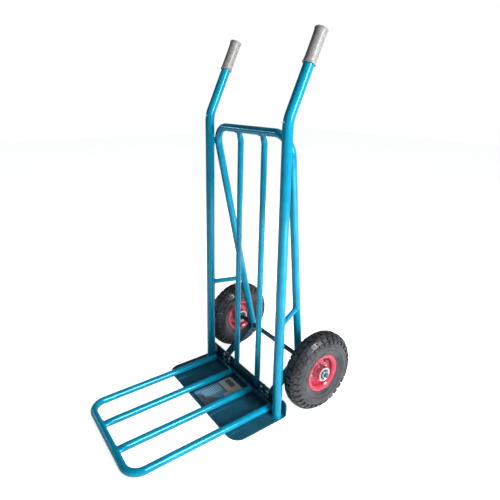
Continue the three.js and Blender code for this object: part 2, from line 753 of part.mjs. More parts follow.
for (const [side, sign] of sides) {
  const outer = sign * (wheelX + hubHalfLength + gap);
  const inner = sign * (wheelX - hubHalfLength - gap);
  const nutFace = outer + sign * (washerThickness + gap);
  placeOnAxle(`${side}_washer_outer`, washerRadius, outer, outer + sign * washerThickness);
  placeOnAxle(`${side}_washer_inner`, washerRadius, inner, inner - sign * washerThickness);
  placeOnAxle(`${side}_push_nut`, pushNutRadius, nutFace, nutFace + sign * pushNutThickness);
}

export default part;
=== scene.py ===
"""A two-wheeled tubular hand truck with a toe extension that folds up between its uprights.

Shapes are worked out in millimetres, +Z up and +Y towards the wheels, and each finished piece is
brought to metres with its place in its mesh. A wheel is made about its own axle, with +X outboard.
"""

from math import atan2, ceil, cos, hypot, pi, radians, sin, sqrt, tan

import bmesh
import bpy
from mathutils import Matrix, Vector


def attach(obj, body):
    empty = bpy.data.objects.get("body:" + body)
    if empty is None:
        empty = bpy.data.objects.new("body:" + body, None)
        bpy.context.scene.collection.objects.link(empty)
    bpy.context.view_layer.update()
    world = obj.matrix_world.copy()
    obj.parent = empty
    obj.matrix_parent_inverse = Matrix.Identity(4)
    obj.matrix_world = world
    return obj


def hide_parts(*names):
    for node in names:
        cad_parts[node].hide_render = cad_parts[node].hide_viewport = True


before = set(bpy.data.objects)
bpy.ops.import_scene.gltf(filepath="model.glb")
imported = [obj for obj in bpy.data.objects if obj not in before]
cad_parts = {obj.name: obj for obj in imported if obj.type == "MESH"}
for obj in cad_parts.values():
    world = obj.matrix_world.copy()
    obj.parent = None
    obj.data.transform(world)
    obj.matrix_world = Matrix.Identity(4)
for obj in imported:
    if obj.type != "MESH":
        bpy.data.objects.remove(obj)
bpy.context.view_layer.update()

MM = 0.001
SIDES = (("left", -1), ("right", 1))
ENDS = (("outer", 1), ("inner", -1))

# ---- sizes in millimetres ----
UPRIGHT_X, UPRIGHT_R = 195, 15
GAP = 0.3  # left between parts that only touch
HANDLE_BEND_Z, HANDLE_LEAN, HANDLE_BEND_R, HANDLE_LENGTH = 920, radians(24), 90, 258
GRIP_LENGTH, GRIP_BORE = 100, 15.3
TOE_HALF_WIDTH, TOE_FRONT_Y, SHEET, TOE_CORNER_R, FOLD_R = 215, -177, 4, 40, 7
FLANGE_Y, FLANGE_TOP, FLANGE_CHAMFER = 21, 49, 11
LABEL_HALF_WIDTH, LABEL_FRONT_Y, LABEL_BACK_Y, LABEL_LIFT, LABEL_CORNER_R = 45, -163, -14, 0.4, 5
HOOP_R, HOOP_TOP_Z, HOOP_BEND_R = 12.5, 883, 60
HOOP_FOOT = Vector((126, 152, 108))
HOOP_CONTACT_TURN, HOOP_TOUCH_TURN = radians(14), radians(75)
BAR_R, BAR_X, BAR_FOOT, BAR_KNEE, BAR_BEND_R, BAR_TOP_BEHIND = 9.5, 60, (26, 20), (31.8, 847), 50, 2
TIE_R, TIE_Z, TIE_FRONT_DROP = 8, 323, 8
AXLE_Y, AXLE_Z, AXLE_R, AXLE_END_X = 143.5, 130, 8, 265
ARM_X, ARM_HALF_WIDTH, ARM_THICKNESS, ARM_FOOT_Z, ARM_DROP = 132, 15, 6, 24.8, 5.5
WHEEL_X, TYRE_R, HUB_R, HUB_HALF, BEARING_R, BEARING_WIDTH = 223, 130, 23, 32, 17.5, 11
BOLT_COUNT, BOLT_CIRCLE, BOLT_TURN, WEB_FACE = 4, 34, radians(-10), 2.2
WASHER_R, WASHER_BORE, WASHER_THICKNESS, PUSH_RING_R = 11.5, 8.2, 1.5, 10.5
VALVE_TURN, VALVE_TIP, VALVE_ROOT = radians(22), Vector((17, 0, 35)), Vector((1, 0, 67))
TUBE_RING_R, TUBE_HALF_X, TUBE_HALF_R = 93, 21, 25
EXTENSION_R, EXTENSION_X, EXTENSION_Z, EXTENSION_FRONT_Y, EXTENSION_BEND_R = 11, 164, 15.3, -477, 45
EXTENSION_BACK_Y, INNER_TUBE_X = -1.3, 58.5
BAR_FRONT_Y, BAR_TOP_Z, BAR_LOW_Z, BAR_DEPTH, BAR_SHEET = -1, 22, 4.3, 9.5, 3
HINGE_X, HINGE_Y, HINGE_Z, HINGE_HALF, LEAF_HALF, LEAF_SHEET = 111.25, 14.5, 25.5, 23, 9.5, 2.5
LEAF_Y, LEAF_TOP_Z, BOLT_Z, BOLT_PITCH, PIN_R = 19.45, 46, 39.3, 32, 2.4
BOLT_R, HINGE_HEX_R, RIM_HEX_R = 3, 5.8, 5.6
WALL, BORE_DEPTH = 1.8, 14
RIPPLE = 3.2  # pitch of a weld bead's ripples
MERGE = 0.002  # corners nearer to each other than this are one

# ---- camera, in metres and millimetres of lens ----
CAMERA_PLACE = (1.0523, -0.7699, 0.9839)
CAMERA_YAW, CAMERA_PITCH, CAMERA_ROLL = radians(55.26), radians(14.90), radians(0.426)
CAMERA_LENS, CAMERA_SENSOR, CAMERA_SHIFT = 30.78, 36, (0.035, -0.082)


# ---- colours and nodes ----


def linear(code):
    """An sRGB hex colour as linear red, green, blue and full alpha."""
    parts = [int(code[k : k + 2], 16) / 255 for k in (1, 3, 5)]
    return (*[c / 12.92 if c <= 0.04045 else ((c + 0.055) / 1.055) ** 2.4 for c in parts], 1.0)


def add(tree, kind, inputs=None, **settings):
    """A new node with its settings, and its inputs set to values or linked to other sockets."""
    made = tree.nodes.new("ShaderNode" + kind)
    for name, value in settings.items():
        setattr(made, name, value)
    for name, value in (inputs or {}).items():
        if isinstance(value, bpy.types.NodeSocket):
            tree.links.new(value, made.inputs[name])
        else:
            made.inputs[name].default_value = value
    return made


def new_finish(name, **constants):
    """An empty material: its tree, its surface shader and the piece's own coordinates."""
    finish = bpy.data.materials.new(name)
    finish.use_nodes = True
    tree = finish.node_tree
    surface = tree.nodes["Principled BSDF"]
    for socket, value in constants.items():
        surface.inputs[socket.replace("_", " ")].default_value = value
    place = add(tree, "TexCoord").outputs["Object"]
    return finish, tree, surface, place


def per_metre(size_mm):
    """A texture scale at which one cell or wave is about this wide."""
    return 1 / (size_mm * MM)


def blend_colours(tree, share, first, second):
    """A colour between two, by a share from 0 to 1."""
    mix = add(tree, "Mix", {0: share, 6: first, 7: second}, data_type="RGBA")
    return mix.outputs[2]


def spread(tree, value, low, high, to_low, to_high):
    """A value's range stretched or squeezed to another range."""
    made = add(tree, "MapRange", {0: value, 1: low, 2: high, 3: to_low, 4: to_high})
    return made.outputs[0]


def colour_between(tree, surface, share, first, second):
    """Colours a surface between two sRGB colours, by a share."""
    tree.links.new(blend_colours(tree, share, linear(first), linear(second)), surface.inputs["Base Color"])


def roughen(tree, surface, value, low, high, smoothest, roughest):
    """Makes a surface rougher as a value goes from low to high."""
    tree.links.new(spread(tree, value, low, high, smoothest, roughest), surface.inputs["Roughness"])


def noise(tree, place, size_mm, detail=2.0, roughness=0.5):
    """Cloudy patches of about one size, as a value from 0 to 1."""
    made = add(tree, "TexNoise", {"Vector": place, "Scale": per_metre(size_mm), "Detail": detail,
                                  "Roughness": roughness})
    return made.outputs["Fac"]


def relief(tree, surface, height, depth_mm, strength=1.0, under=None):
    """A bump of a real depth on the surface, on top of another one where there is one."""
    inputs = {"Height": height, "Distance": depth_mm * MM, "Strength": strength}
    if under is not None:
        inputs["Normal"] = under
    made = add(tree, "Bump", inputs).outputs["Normal"]
    tree.links.new(made, surface.inputs["Normal"])
    return made


# Gloss enamel sprayed on steel: a wet-looking clear skin with a faint orange peel, over colour with
# a little fine flake that tints its glint. The paint is thinner and darker in patches, and a little
# dust in it dulls the gloss here and there.
def gloss_enamel(name, body_colour, thin_colour, tint, peel_mm=2.6, flake=0.16):
    finish, tree, surface, place = new_finish(name, IOR=1.5, Specular_IOR_Level=0.55, Coat_Weight=0.34,
                                              Coat_Roughness=0.04, Metallic=flake, Specular_Tint=linear(tint))
    thick = spread(tree, noise(tree, place, 55, 3), 0.35, 0.7, 0, 1)
    colour_between(tree, surface, thick, thin_colour, body_colour)
    dust = noise(tree, place, 1.4, 1)
    haze = noise(tree, place, 22, 4, 0.6)
    dull = add(tree, "Math", {0: spread(tree, haze, 0.35, 0.7, 0.1, 0.19),
                              1: spread(tree, dust, 0.68, 0.78, 0, 0.18)}, operation="ADD")
    tree.links.new(dull.outputs[0], surface.inputs["Roughness"])
    peel = relief(tree, surface, noise(tree, place, peel_mm, 1), 0.02)
    relief(tree, surface, spread(tree, dust, 0.7, 0.8, 0, 1), 0.03, under=peel)
    return finish


# Zinc electroplate, bright chromate: clear metal with a faint blue and straw bloom in patches and
# fine drawing marks from before it was plated.
def zinc_plate():
    finish, tree, surface, place = new_finish("bright_zinc_plate", Metallic=1.0)
    bloom = spread(tree, noise(tree, place, 7, 2), 0.35, 0.65, 0, 1)
    colour_between(tree, surface, bloom, "#c3cad4", "#d8d5cb")
    stretched = add(tree, "Mapping", {"Vector": place, "Scale": (0.15, 1, 1)}).outputs[0]
    marks = noise(tree, stretched, 0.6, 2)
    roughen(tree, surface, marks, 0.3, 0.7, 0.22, 0.42)
    relief(tree, surface, marks, 0.01)
    return finish


# Injection-moulded polyethylene: satin, with the fine spark-eroded grain of its mould and dull
# scuffs from hands.
def moulded_grip():
    finish, tree, surface, place = new_finish("moulded_polyethylene", IOR=1.51)
    scuffs = spread(tree, noise(tree, place, 18, 4, 0.65), 0.4, 0.68, 0, 1)
    colour_between(tree, surface, scuffs, "#807e7d", "#6d6b6a")
    roughen(tree, surface, scuffs, 0, 1, 0.28, 0.42)
    grain = add(tree, "TexVoronoi", {"Vector": place, "Scale": per_metre(1.1)}).outputs["Distance"]
    relief(tree, surface, grain, 0.05, 0.6)
    return finish


# Vulcanised rubber: nearly black, greyed and dulled by bloom and floor dust in patches. The sidewall
# comes smooth and shining from its mould, and the tread is duller, with the mould's fine stipple.
def tyre_rubber(name, clean_roughness, bloomed_roughness, stipple_depth):
    finish, tree, surface, place = new_finish(name, IOR=1.52)
    bloom = spread(tree, noise(tree, place, 28, 5, 0.6), 0.35, 0.72, 0, 1)
    colour_between(tree, surface, bloom, "#1f2124", "#35373b")
    roughen(tree, surface, bloom, 0, 1, clean_roughness, bloomed_roughness)
    relief(tree, surface, noise(tree, place, 1.2, 2), stipple_depth, 0.7)
    return finish


# Butyl rubber, moulded smooth: black with a soft sheen.
def butyl_rubber():
    finish, tree, surface, place = new_finish("smooth_butyl_rubber", IOR=1.52)
    wipe = noise(tree, place, 9, 3)
    colour_between(tree, surface, wipe, "#131416", "#232427")
    roughen(tree, surface, wipe, 0.3, 0.7, 0.4, 0.6)
    relief(tree, surface, noise(tree, place, 0.9, 1), 0.02)
    return finish


# Printed vinyl film: a blue panel that darkens backwards and has a slanted dark zone, a warm grey
# panel behind it with a dark block on it, and rows of plain pale bars, all under a clear gloss
# laminate.
def printed_film():
    finish, tree, surface, place = new_finish("printed_vinyl_film", IOR=1.46, Coat_Weight=0.5,
                                              Coat_Roughness=0.1)
    split = add(tree, "SeparateXYZ", {"Vector": place})
    across, along = split.outputs[0], split.outputs[1]

    def worked(first, second, operation="MULTIPLY"):
        return add(tree, "Math", {0: first, 1: second}, operation=operation).outputs[0]

    def band(value, low_mm, high_mm):
        return worked(worked(value, low_mm * MM, "GREATER_THAN"), worked(value, high_mm * MM, "LESS_THAN"))

    bar_pitch_mm, bar_share = 7, 0.35
    bars = add(tree, "Math", {0: worked(along, 1 / (bar_pitch_mm * MM))}, operation="FRACT").outputs[0]
    rows = worked(band(across, -36, 0), band(along, -142, -74))
    slant = worked(worked(across, 0.9), along, "SUBTRACT")
    colour = blend_colours(tree, spread(tree, along, LABEL_FRONT_Y * MM, -70 * MM, 0, 1),
                           linear("#568bac"), linear("#3f6980"))
    for share, code in (
        (spread(tree, slant, 126 * MM, 135 * MM, 0, 1), "#4a4f55"),
        (band(along, -64, 0), "#9d9b93"),
        (worked(band(across, -38, 4), band(along, -44, -24)), "#4b525c"),
        (worked(band(across, 16, 38), band(along, -86, -54)), "#8f9390"),
        (worked(rows, worked(bars, bar_share, "LESS_THAN")), "#9fc0d2"),
    ):
        colour = blend_colours(tree, share, colour, linear(code))
    tree.links.new(colour, surface.inputs["Base Color"])
    wear = noise(tree, place, 12, 3)
    roughen(tree, surface, wear, 0.3, 0.7, 0.25, 0.45)
    relief(tree, surface, noise(tree, place, 9, 1), 0.04)
    return finish


# A studio floor of painted board: matt, pale and even, with only a trace of mottle. It glows to the
# eye, so that it meets the white surround with no edge, and throws little of that light.
def pale_board():
    finish, tree, surface, place = new_finish("matt_painted_board", IOR=1.3, Emission_Color=(1, 1, 1, 1))
    mottle = noise(tree, place, 400, 2)
    colour_between(tree, surface, mottle, "#f4f4f3", "#f8f8f8")
    roughen(tree, surface, mottle, 0, 1, 0.8, 0.9)
    seen = add(tree, "LightPath").outputs["Is Camera Ray"]
    tree.links.new(spread(tree, seen, 0, 1, 0.12, 0.79), surface.inputs["Emission Strength"])
    return finish


BLUE = gloss_enamel("gloss_turquoise_enamel", "#0087a9", "#007896", "#8fdcf2")
# Painted shade: a darker copy of the same turquoise enamel for the toe plate, arms, hinges and angle bar,
# with the weaker light on them painted into its colour.
BLUE_WITH_PAINTED_SHADE = gloss_enamel("gloss_turquoise_enamel_with_painted_shade", "#1c5066", "#184559", "#bfe6f2", peel_mm=3.2)
# Painted shade: a still darker copy of the turquoise enamel for the axle bar, with its shade between the
# wheels painted into its colour.
AXLE_BLUE_WITH_PAINTED_SHADE = gloss_enamel("gloss_turquoise_enamel_on_bar_with_painted_shade", "#0f4a5c", "#0c3e4e", "#bfe6f2")
RED = gloss_enamel("gloss_red_enamel", "#b02f46", "#9c253c", "#ffe2ea", peel_mm=2.2, flake=0)
ZINC = zinc_plate()
GRIP = moulded_grip()
TREAD = tyre_rubber("vulcanised_tread_rubber", 0.34, 0.5, 0.09)
SIDEWALL = tyre_rubber("vulcanised_sidewall_rubber", 0.14, 0.3, 0.02)
BUTYL = butyl_rubber()
FILM = printed_film()


# ---- shaping ----


def put(into, shape, place=None, finish_index=0):
    """Adds a finished shape to a piece's mesh, at its place and in one of the piece's finishes."""
    bmesh.ops.remove_doubles(shape, verts=shape.verts, dist=MERGE)
    bmesh.ops.recalc_face_normals(shape, faces=shape.faces)
    for face in shape.faces:
        face.material_index = finish_index
    if place is not None:
        shape.transform(place)
    step = bpy.data.meshes.new("step")
    shape.to_mesh(step)
    shape.free()
    into.from_mesh(step)
    bpy.data.meshes.remove(step)


def new_piece(name, shape, finishes, body, stands_for=(), place=None, sharp=38):
    """Makes a shape in millimetres into a piece of the model, in metres, on its body."""
    if place is not None:
        shape.transform(place)
    bmesh.ops.scale(shape, vec=(MM, MM, MM), verts=shape.verts)
    mesh = bpy.data.meshes.new(name)
    shape.to_mesh(mesh)
    shape.free()
    for finish in finishes:
        mesh.materials.append(finish)
    mesh.shade_smooth()
    mesh.set_sharp_from_angle(angle=radians(sharp))
    piece = bpy.data.objects.new(name, mesh)
    bpy.context.scene.collection.objects.link(piece)
    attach(piece, body)
    if stands_for:
        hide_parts(*stands_for)
    return piece


def one_shape(shape, place=None):
    """A mesh that holds one shape, ready for new_piece."""
    whole = bmesh.new()
    put(whole, shape, place)
    return whole


def new_verts(made):
    """The vertices among what an operator has made."""
    return [g for g in made if isinstance(g, bmesh.types.BMVert)]


def everything(shape):
    return shape.verts[:] + shape.edges[:] + shape.faces[:]


def cut_corners(shape, corners, reach, segments):
    """Chamfers or rounds corners, by the number of segments."""
    bmesh.ops.bevel(shape, geom=corners, offset=reach, segments=segments, profile=0.5, affect="VERTICES",
                    material=-1)


def drawn_sheet(profile, half_width):
    """A (y, z) profile drawn across X, with no thickness yet."""
    shape = bmesh.new()
    verts = [shape.verts.new((-half_width, y, z)) for y, z in profile]
    edges = [shape.edges.new(pair) for pair in zip(verts, verts[1:])]
    made = bmesh.ops.extrude_edge_only(shape, edges=edges)["geom"]
    bmesh.ops.translate(shape, vec=(2 * half_width, 0, 0), verts=new_verts(made))
    return shape


def sharp_edges(edges, angle):
    return [e for e in edges if len(e.link_faces) == 2 and e.calc_face_angle(0) > radians(angle)]


def soften(shape, width, segments=2, angle=30):
    """Rounds every edge that is sharper than an angle."""
    bmesh.ops.remove_doubles(shape, verts=shape.verts, dist=MERGE)
    bmesh.ops.recalc_face_normals(shape, faces=shape.faces)
    sharp = sharp_edges(shape.edges, angle)
    bmesh.ops.bevel(shape, geom=sharp, offset=width, segments=segments, profile=0.5, affect="EDGES",
                    material=-1, clamp_overlap=True)
    return shape


def along_x(start, end):
    """The turn and place that lay a shape made along X on the line from start to end."""
    line = Vector(end) - Vector(start)
    return Matrix.Translation(start) @ line.to_track_quat("X", "Z").to_matrix().to_4x4()


def rounded(outline, steps=4, closed=True):
    """An outline of (a, b) or (a, b, corner radius) with its corners rounded."""
    count = len(outline)
    made = []
    for i, point in enumerate(outline):
        here = Vector(point[:2])
        radius = point[2] if len(point) > 2 else 0
        if radius == 0 or (not closed and i in (0, count - 1)):
            made.append(tuple(here))
            continue
        back = Vector(outline[i - 1][:2]) - here
        on = Vector(outline[(i + 1) % count][:2]) - here
        half = (pi - back.angle(on)) / 2
        reach = min(radius * tan(half), 0.48 * back.length, 0.48 * on.length)
        start, end = here + back.normalized() * reach, here + on.normalized() * reach
        for k in range(steps + 1):
            t = k / steps
            made.append(tuple(start * (1 - t) ** 2 + here * 2 * t * (1 - t) + end * t**2))
    return made


def turned(outline, steps=64, closed=True):
    """An outline of (radius, along) turned about the X axis."""
    shape = bmesh.new()
    verts = [shape.verts.new((along, 0, radius)) for radius, along in outline]
    pairs = list(zip(verts, verts[1:])) + ([(verts[-1], verts[0])] if closed else [])
    edges = [shape.edges.new(pair) for pair in pairs]
    bmesh.ops.spin(shape, geom=verts + edges, cent=(0, 0, 0), axis=(1, 0, 0), angle=2 * pi, steps=steps,
                   use_merge=True)
    return shape


def facing(outline, direction):
    """An outline of (radius, along) that faces outboard for 1 and inboard for -1."""
    return [(radius, along * direction) for radius, along in outline]


def mirrored(half):
    """Half an outline of (radius, along), and its mirror image on the way back."""
    return half + facing(reversed(half), -1)


def bent_route(corners, bend_radius, steps=10):
    """A tube's centre line as (point, heading): straight runs, with an arc at each corner."""
    at = [Vector(c) for c in corners]
    heading = [(b - a).normalized() for a, b in zip(at, at[1:])]
    route = [(at[0], heading[0])]
    for i in range(1, len(at) - 1):
        turn = heading[i - 1].angle(heading[i])
        inward = (heading[i] - heading[i - 1] * cos(turn)).normalized()
        start = at[i] - heading[i - 1] * bend_radius * tan(turn / 2)
        for k in range(steps + 1):
            angle = turn * k / steps
            route.append((start + heading[i - 1] * bend_radius * sin(angle)
                          + inward * bend_radius * (1 - cos(angle)),
                          heading[i - 1] * cos(angle) + inward * sin(angle)))
    route.append((at[-1], heading[-1]))
    return route


def with_stations(route, distances):
    """The same route with more stations on its first straight run, measured from its start."""
    (first, heading), rest = route[0], route[1:]
    return [(first, heading)] + [(first + heading * d, heading) for d in distances] + rest


def swept(route, sections, count=28, closed=False, ends=("capped", "capped"), wide=None):
    """A tube along a route, with each end capped or open. Each section is its two half widths, the
    first one towards wide."""
    matrices = []
    heading = route[0][1]
    side = (wide - wide.project(heading)).normalized() if wide else heading.orthogonal().normalized()
    for point, onward in route:
        side = heading.rotation_difference(onward) @ side
        side = (side - side.project(onward)).normalized()
        heading = onward
        turn = Matrix((side, onward.cross(side), onward)).transposed().to_4x4()
        matrices.append(Matrix.Translation(point) @ turn)
    matrices = [m @ Matrix.Diagonal((a, b, 1, 1)) for m, (a, b) in zip(matrices, sections)]

    shape = bmesh.new()
    ring = bmesh.ops.create_circle(shape, segments=count, radius=1, matrix=matrices[0])["verts"]
    loop = first = list({e for v in ring for e in v.link_edges})
    for before, after in zip(matrices, matrices[1:]):
        made = bmesh.ops.extrude_edge_only(shape, edges=loop)["geom"]
        loop = [g for g in made if isinstance(g, bmesh.types.BMEdge) and g.is_boundary]
        bmesh.ops.transform(shape, matrix=after @ before.inverted(), verts=new_verts(made))
    if closed:
        bmesh.ops.bridge_loops(shape, edges=first + loop)
        return shape
    for edges, kind, inward in ((first, ends[0], route[0][1]), (loop, ends[1], -route[-1][1])):
        cap = bmesh.ops.edgeloop_fill(shape, edges=edges)["faces"]
        if kind == "open":
            bmesh.ops.inset_region(shape, faces=cap, thickness=WALL)
            bore = bmesh.ops.extrude_discrete_faces(shape, faces=cap)["faces"]
            bmesh.ops.translate(shape, vec=inward * BORE_DEPTH, verts=bore[0].verts)
    return shape


def round_tube(route, radius, count=28, ends=("capped", "capped")):
    return swept(route, [(radius, radius)] * len(route), count, ends=ends)


def evenly(path, pitch, closed):
    """Points a pitch apart along a path, each with its heading."""
    points = list(path) + ([path[0]] if closed else [])
    lengths = [0.0]
    for a, b in zip(points, points[1:]):
        lengths.append(lengths[-1] + (b - a).length)
    count = max(4, ceil(lengths[-1] / pitch))
    route, i = [], 0
    for k in range(count if closed else count + 1):
        want = lengths[-1] * k / count
        while i < len(points) - 2 and lengths[i + 1] < want:
            i += 1
        share = (want - lengths[i]) / max(lengths[i + 1] - lengths[i], 1e-6)
        route.append(points[i].lerp(points[i + 1], share))
    last = len(route) - 1
    headings = []
    for k in range(len(route)):
        before = route[k - 1] if closed or k > 0 else route[0]
        after = route[(k + 1) % len(route)] if closed or k < last else route[last]
        headings.append((after - before).normalized())
    return list(zip(route, headings))


def bead(into, path, radius=2.4, closed=True):
    """A run of weld with a ripple at every puddle."""
    route = evenly(path, RIPPLE / 2, closed)
    sections = [(radius * (1 if k % 2 else 0.84),) * 2 for k in range(len(route))]
    if not closed:
        sections[0] = sections[-1] = (radius * 0.45,) * 2
    put(into, swept(route, sections, count=8, closed=closed))


def ring_path(centre, axis, radius, count=36):
    """Points round a circle."""
    axis = Vector(axis).normalized()
    side = axis.orthogonal().normalized()
    other = axis.cross(side)
    return [Vector(centre) + side * radius * cos(2 * pi * k / count)
            + other * radius * sin(2 * pi * k / count) for k in range(count)]


def saddle(centre, out, radius, axis, main_radius, count=40):
    """Where a round branch that leaves centre in the direction out meets a round tube on axis."""
    out, axis = Vector(out).normalized(), Vector(axis).normalized()
    path = []
    for offset in ring_path((0, 0, 0), out, radius, count):
        across = offset - offset.project(axis)
        onward = out - out.project(axis)
        a, b, c = onward.dot(onward), 2 * across.dot(onward), across.dot(across) - main_radius**2
        reach = (-b + sqrt(max(b * b - 4 * a * c, 0))) / (2 * a)
        path.append(Vector(centre) + offset + out * reach)
    return path


def hexagon(corner_radius, height):
    """A hexagon head or nut along X from 0 outwards, with its outer corners chamfered."""
    shape = bmesh.new()
    lying = Matrix.Translation((height / 2, 0, 0)) @ Matrix.Rotation(pi / 2, 4, "Y")
    bmesh.ops.create_cone(shape, cap_ends=True, segments=6, radius1=corner_radius, radius2=corner_radius,
                          depth=height, matrix=lying)
    outer = [v for v in shape.verts if v.co.x > height / 2]
    cut_corners(shape, outer, corner_radius * 0.22, 1)
    return soften(shape, 0.25, 1)


def flat_ring(bore, radius, thickness, ease, ease_steps=2):
    """A washer's outline, along from 0 outwards, with its outer edges eased."""
    return rounded([(bore, 0), (radius, 0, ease), (radius, thickness, ease), (bore, thickness)], ease_steps)


def threaded_end(radius, length, pitch=1.0):
    """A bolt's threaded end along X with a chamfered tip."""
    outline = [(0, 0), (radius, 0)]
    turns = int(length / pitch) - 1
    for k in range(turns):
        outline += [(radius, (k + 0.3) * pitch), (radius - 0.45, (k + 0.75) * pitch)]
    outline += [(radius, turns * pitch), (radius - 0.8, length), (0, length)]
    return turned(outline, 20, closed=False)


# ---- uprights with their bent handles ----

HANDLE_UP = Vector((0, sin(HANDLE_LEAN), cos(HANDLE_LEAN)))


def handle_point(x, distance):
    """A point on a handle's axis, past its bend."""
    return Vector((x, 0, HANDLE_BEND_Z)) + HANDLE_UP * distance


def make_upright(side, sign):
    x = sign * UPRIGHT_X
    route = bent_route([(x, 0, SHEET), (x, 0, HANDLE_BEND_Z), handle_point(x, HANDLE_LENGTH - 5)],
                       HANDLE_BEND_R, 14)
    new_piece(f"{side}_upright_tube", one_shape(round_tube(route, UPRIGHT_R, 40)), [BLUE], "root",
              [f"{side}_upright"])


def make_grip(side, sign):
    """A sleeve with a flared lip at each end, a soft waist and a domed closed end."""
    end = GRIP_LENGTH
    outline = [
        (GRIP_BORE, 6), (GRIP_BORE, 0, 0.8), (18.9, 0, 1.6), (19.4, 3.2, 1.6), (17.9, 6.4, 2.4),
        (17.3, 20, 12), (17.2, 50, 20), (17.4, 80, 12), (17.9, end - 8, 2.4), (19.3, end - 4.6, 1.8),
        (18.4, end - 1.2, 1.6), (14, end, 3), (0, end + 0.6),
    ]
    shape = turned([(0, 6)] + rounded(outline, 5, closed=False), 56, closed=False)
    foot = handle_point(sign * UPRIGHT_X, HANDLE_LENGTH - GRIP_LENGTH)
    new_piece(f"{side}_hand_grip", one_shape(shape, along_x(foot, foot + HANDLE_UP)), [GRIP], "root",
              [f"{side}_grip"])


for side, sign in SIDES:
    make_upright(side, sign)
    make_grip(side, sign)


# ---- toe plate with its label ----


def make_toe_plate():
    """A sheet folded up at the back, with rounded front corners and chamfered ears."""
    # The sheet's underside and back: flat in two runs, round the fold, and up.
    back = FLANGE_Y + SHEET
    outer = FOLD_R + SHEET / 2
    fold_steps = 8
    profile = [(TOE_FRONT_Y, 0), (-60, 0), (back - outer, 0)]
    for k in range(1, fold_steps + 1):
        turn = k * pi / (2 * fold_steps)
        profile.append((back - outer + outer * sin(turn), outer * (1 - cos(turn))))
    profile.append((back, FLANGE_TOP))
    shape = drawn_sheet(profile, TOE_HALF_WIDTH)
    cut_corners(shape, [v for v in shape.verts if v.co.y < TOE_FRONT_Y + 1], TOE_CORNER_R, 12)
    cut_corners(shape, [v for v in shape.verts if v.co.z > FLANGE_TOP - 1], FLANGE_CHAMFER, 2)
    # The thickness grows away from where the faces point, so they are made to point down and back.
    bmesh.ops.recalc_face_normals(shape, faces=shape.faces)
    if next(f for f in shape.faces if f.calc_center_median().z < 0.1).normal.z > 0:
        bmesh.ops.reverse_faces(shape, faces=shape.faces)
    bmesh.ops.solidify(shape, geom=shape.faces, thickness=SHEET)
    bmesh.ops.remove_doubles(shape, verts=shape.verts, dist=MERGE)
    soften(shape, 0.9, 3, 50)
    new_piece("folded_toe_plate", one_shape(shape), [BLUE_WITH_PAINTED_SHADE], "root", ["toe_plate"])


def make_label():
    shape = bmesh.new()
    low = SHEET + 0.02
    corners = [(-LABEL_HALF_WIDTH, LABEL_FRONT_Y), (LABEL_HALF_WIDTH, LABEL_FRONT_Y),
               (LABEL_HALF_WIDTH, LABEL_BACK_Y), (-LABEL_HALF_WIDTH, LABEL_BACK_Y)]
    face = shape.faces.new([shape.verts.new((x, y, low)) for x, y in corners])
    cut_corners(shape, list(face.verts), LABEL_CORNER_R, 6)
    top = bmesh.ops.extrude_face_region(shape, geom=shape.faces[:])["geom"]
    bmesh.ops.translate(shape, vec=(0, 0, LABEL_LIFT), verts=new_verts(top))
    new_piece("plate_label", one_shape(shape), [FILM], "root", ["label"])


make_toe_plate()
make_label()


# ---- rear hoop, back bars and side ties ----

contact_drop = HOOP_BEND_R * (1 - sin(HOOP_CONTACT_TURN))
contact_share = contact_drop / (HOOP_TOP_Z - HOOP_FOOT.z)
contact_reach = UPRIGHT_R + HOOP_R + GAP
contact_x = UPRIGHT_X - contact_reach * cos(HOOP_TOUCH_TURN)
contact_y = contact_reach * sin(HOOP_TOUCH_TURN)
hoop_top_y = (contact_y - contact_share * HOOP_FOOT.y) / (1 - contact_share)
hoop_top_x = contact_x + HOOP_BEND_R * (1 - cos(HOOP_CONTACT_TURN))


def hoop_leg(sign):
    """The top corner and the foot of one of the hoop's legs."""
    return Vector((sign * hoop_top_x, hoop_top_y, HOOP_TOP_Z)), Vector((sign * HOOP_FOOT.x, *HOOP_FOOT.yz))


def make_hoop():
    (left_top, left_foot), (right_top, right_foot) = hoop_leg(-1), hoop_leg(1)
    route = bent_route([left_foot, left_top, right_top, right_foot], HOOP_BEND_R, 14)
    new_piece("rear_hoop_tube", one_shape(round_tube(route, HOOP_R, 32, ("open", "open"))), [BLUE], "root",
              ["rear_hoop"])


def crimp(radius, share):
    """A tube's half widths where its end is squeezed flatter for its weld, by a share."""
    return (radius * (1 + 0.15 * share), radius * (1 - 0.3 * share))


def make_back_bar(side, sign):
    """A thin tube, crimped where it crosses the flange and where it meets the hoop."""
    x = sign * BAR_X
    foot, knee = Vector((x, *BAR_FOOT)), Vector((x, *BAR_KNEE))
    top = Vector((x, hoop_top_y + BAR_TOP_BEHIND, HOOP_TOP_Z))
    route = bent_route([foot, knee, top], BAR_BEND_R, 8)
    route = with_stations(route, [14, 26, 34, 42, 52])
    last, heading = route[-1]
    route[-1:] = [(last - heading * d, heading) for d in (30, 24, 19)] + [(last, heading)]
    shares = [1, 1, 0.9, 0.5, 0.12, 0] + [0] * (len(route) - 10) + [0, 0.35, 0.85, 1]
    sections = [crimp(BAR_R, s) for s in shares]
    shape = swept(route, sections, 24, wide=Vector((1, 0, 0)))
    new_piece(f"{side}_back_bar_tube", one_shape(shape), [BLUE], "root", [f"{side}_back_bar"])


def tie_line(sign):
    """Where a side tie starts, on the upright's axis, and ends, on the hoop leg's axis."""
    top, foot = hoop_leg(sign)
    down = (HOOP_TOP_Z - TIE_Z) / (HOOP_TOP_Z - HOOP_FOOT.z)
    return Vector((sign * UPRIGHT_X, 0, TIE_Z - TIE_FRONT_DROP)), top.lerp(foot, down)


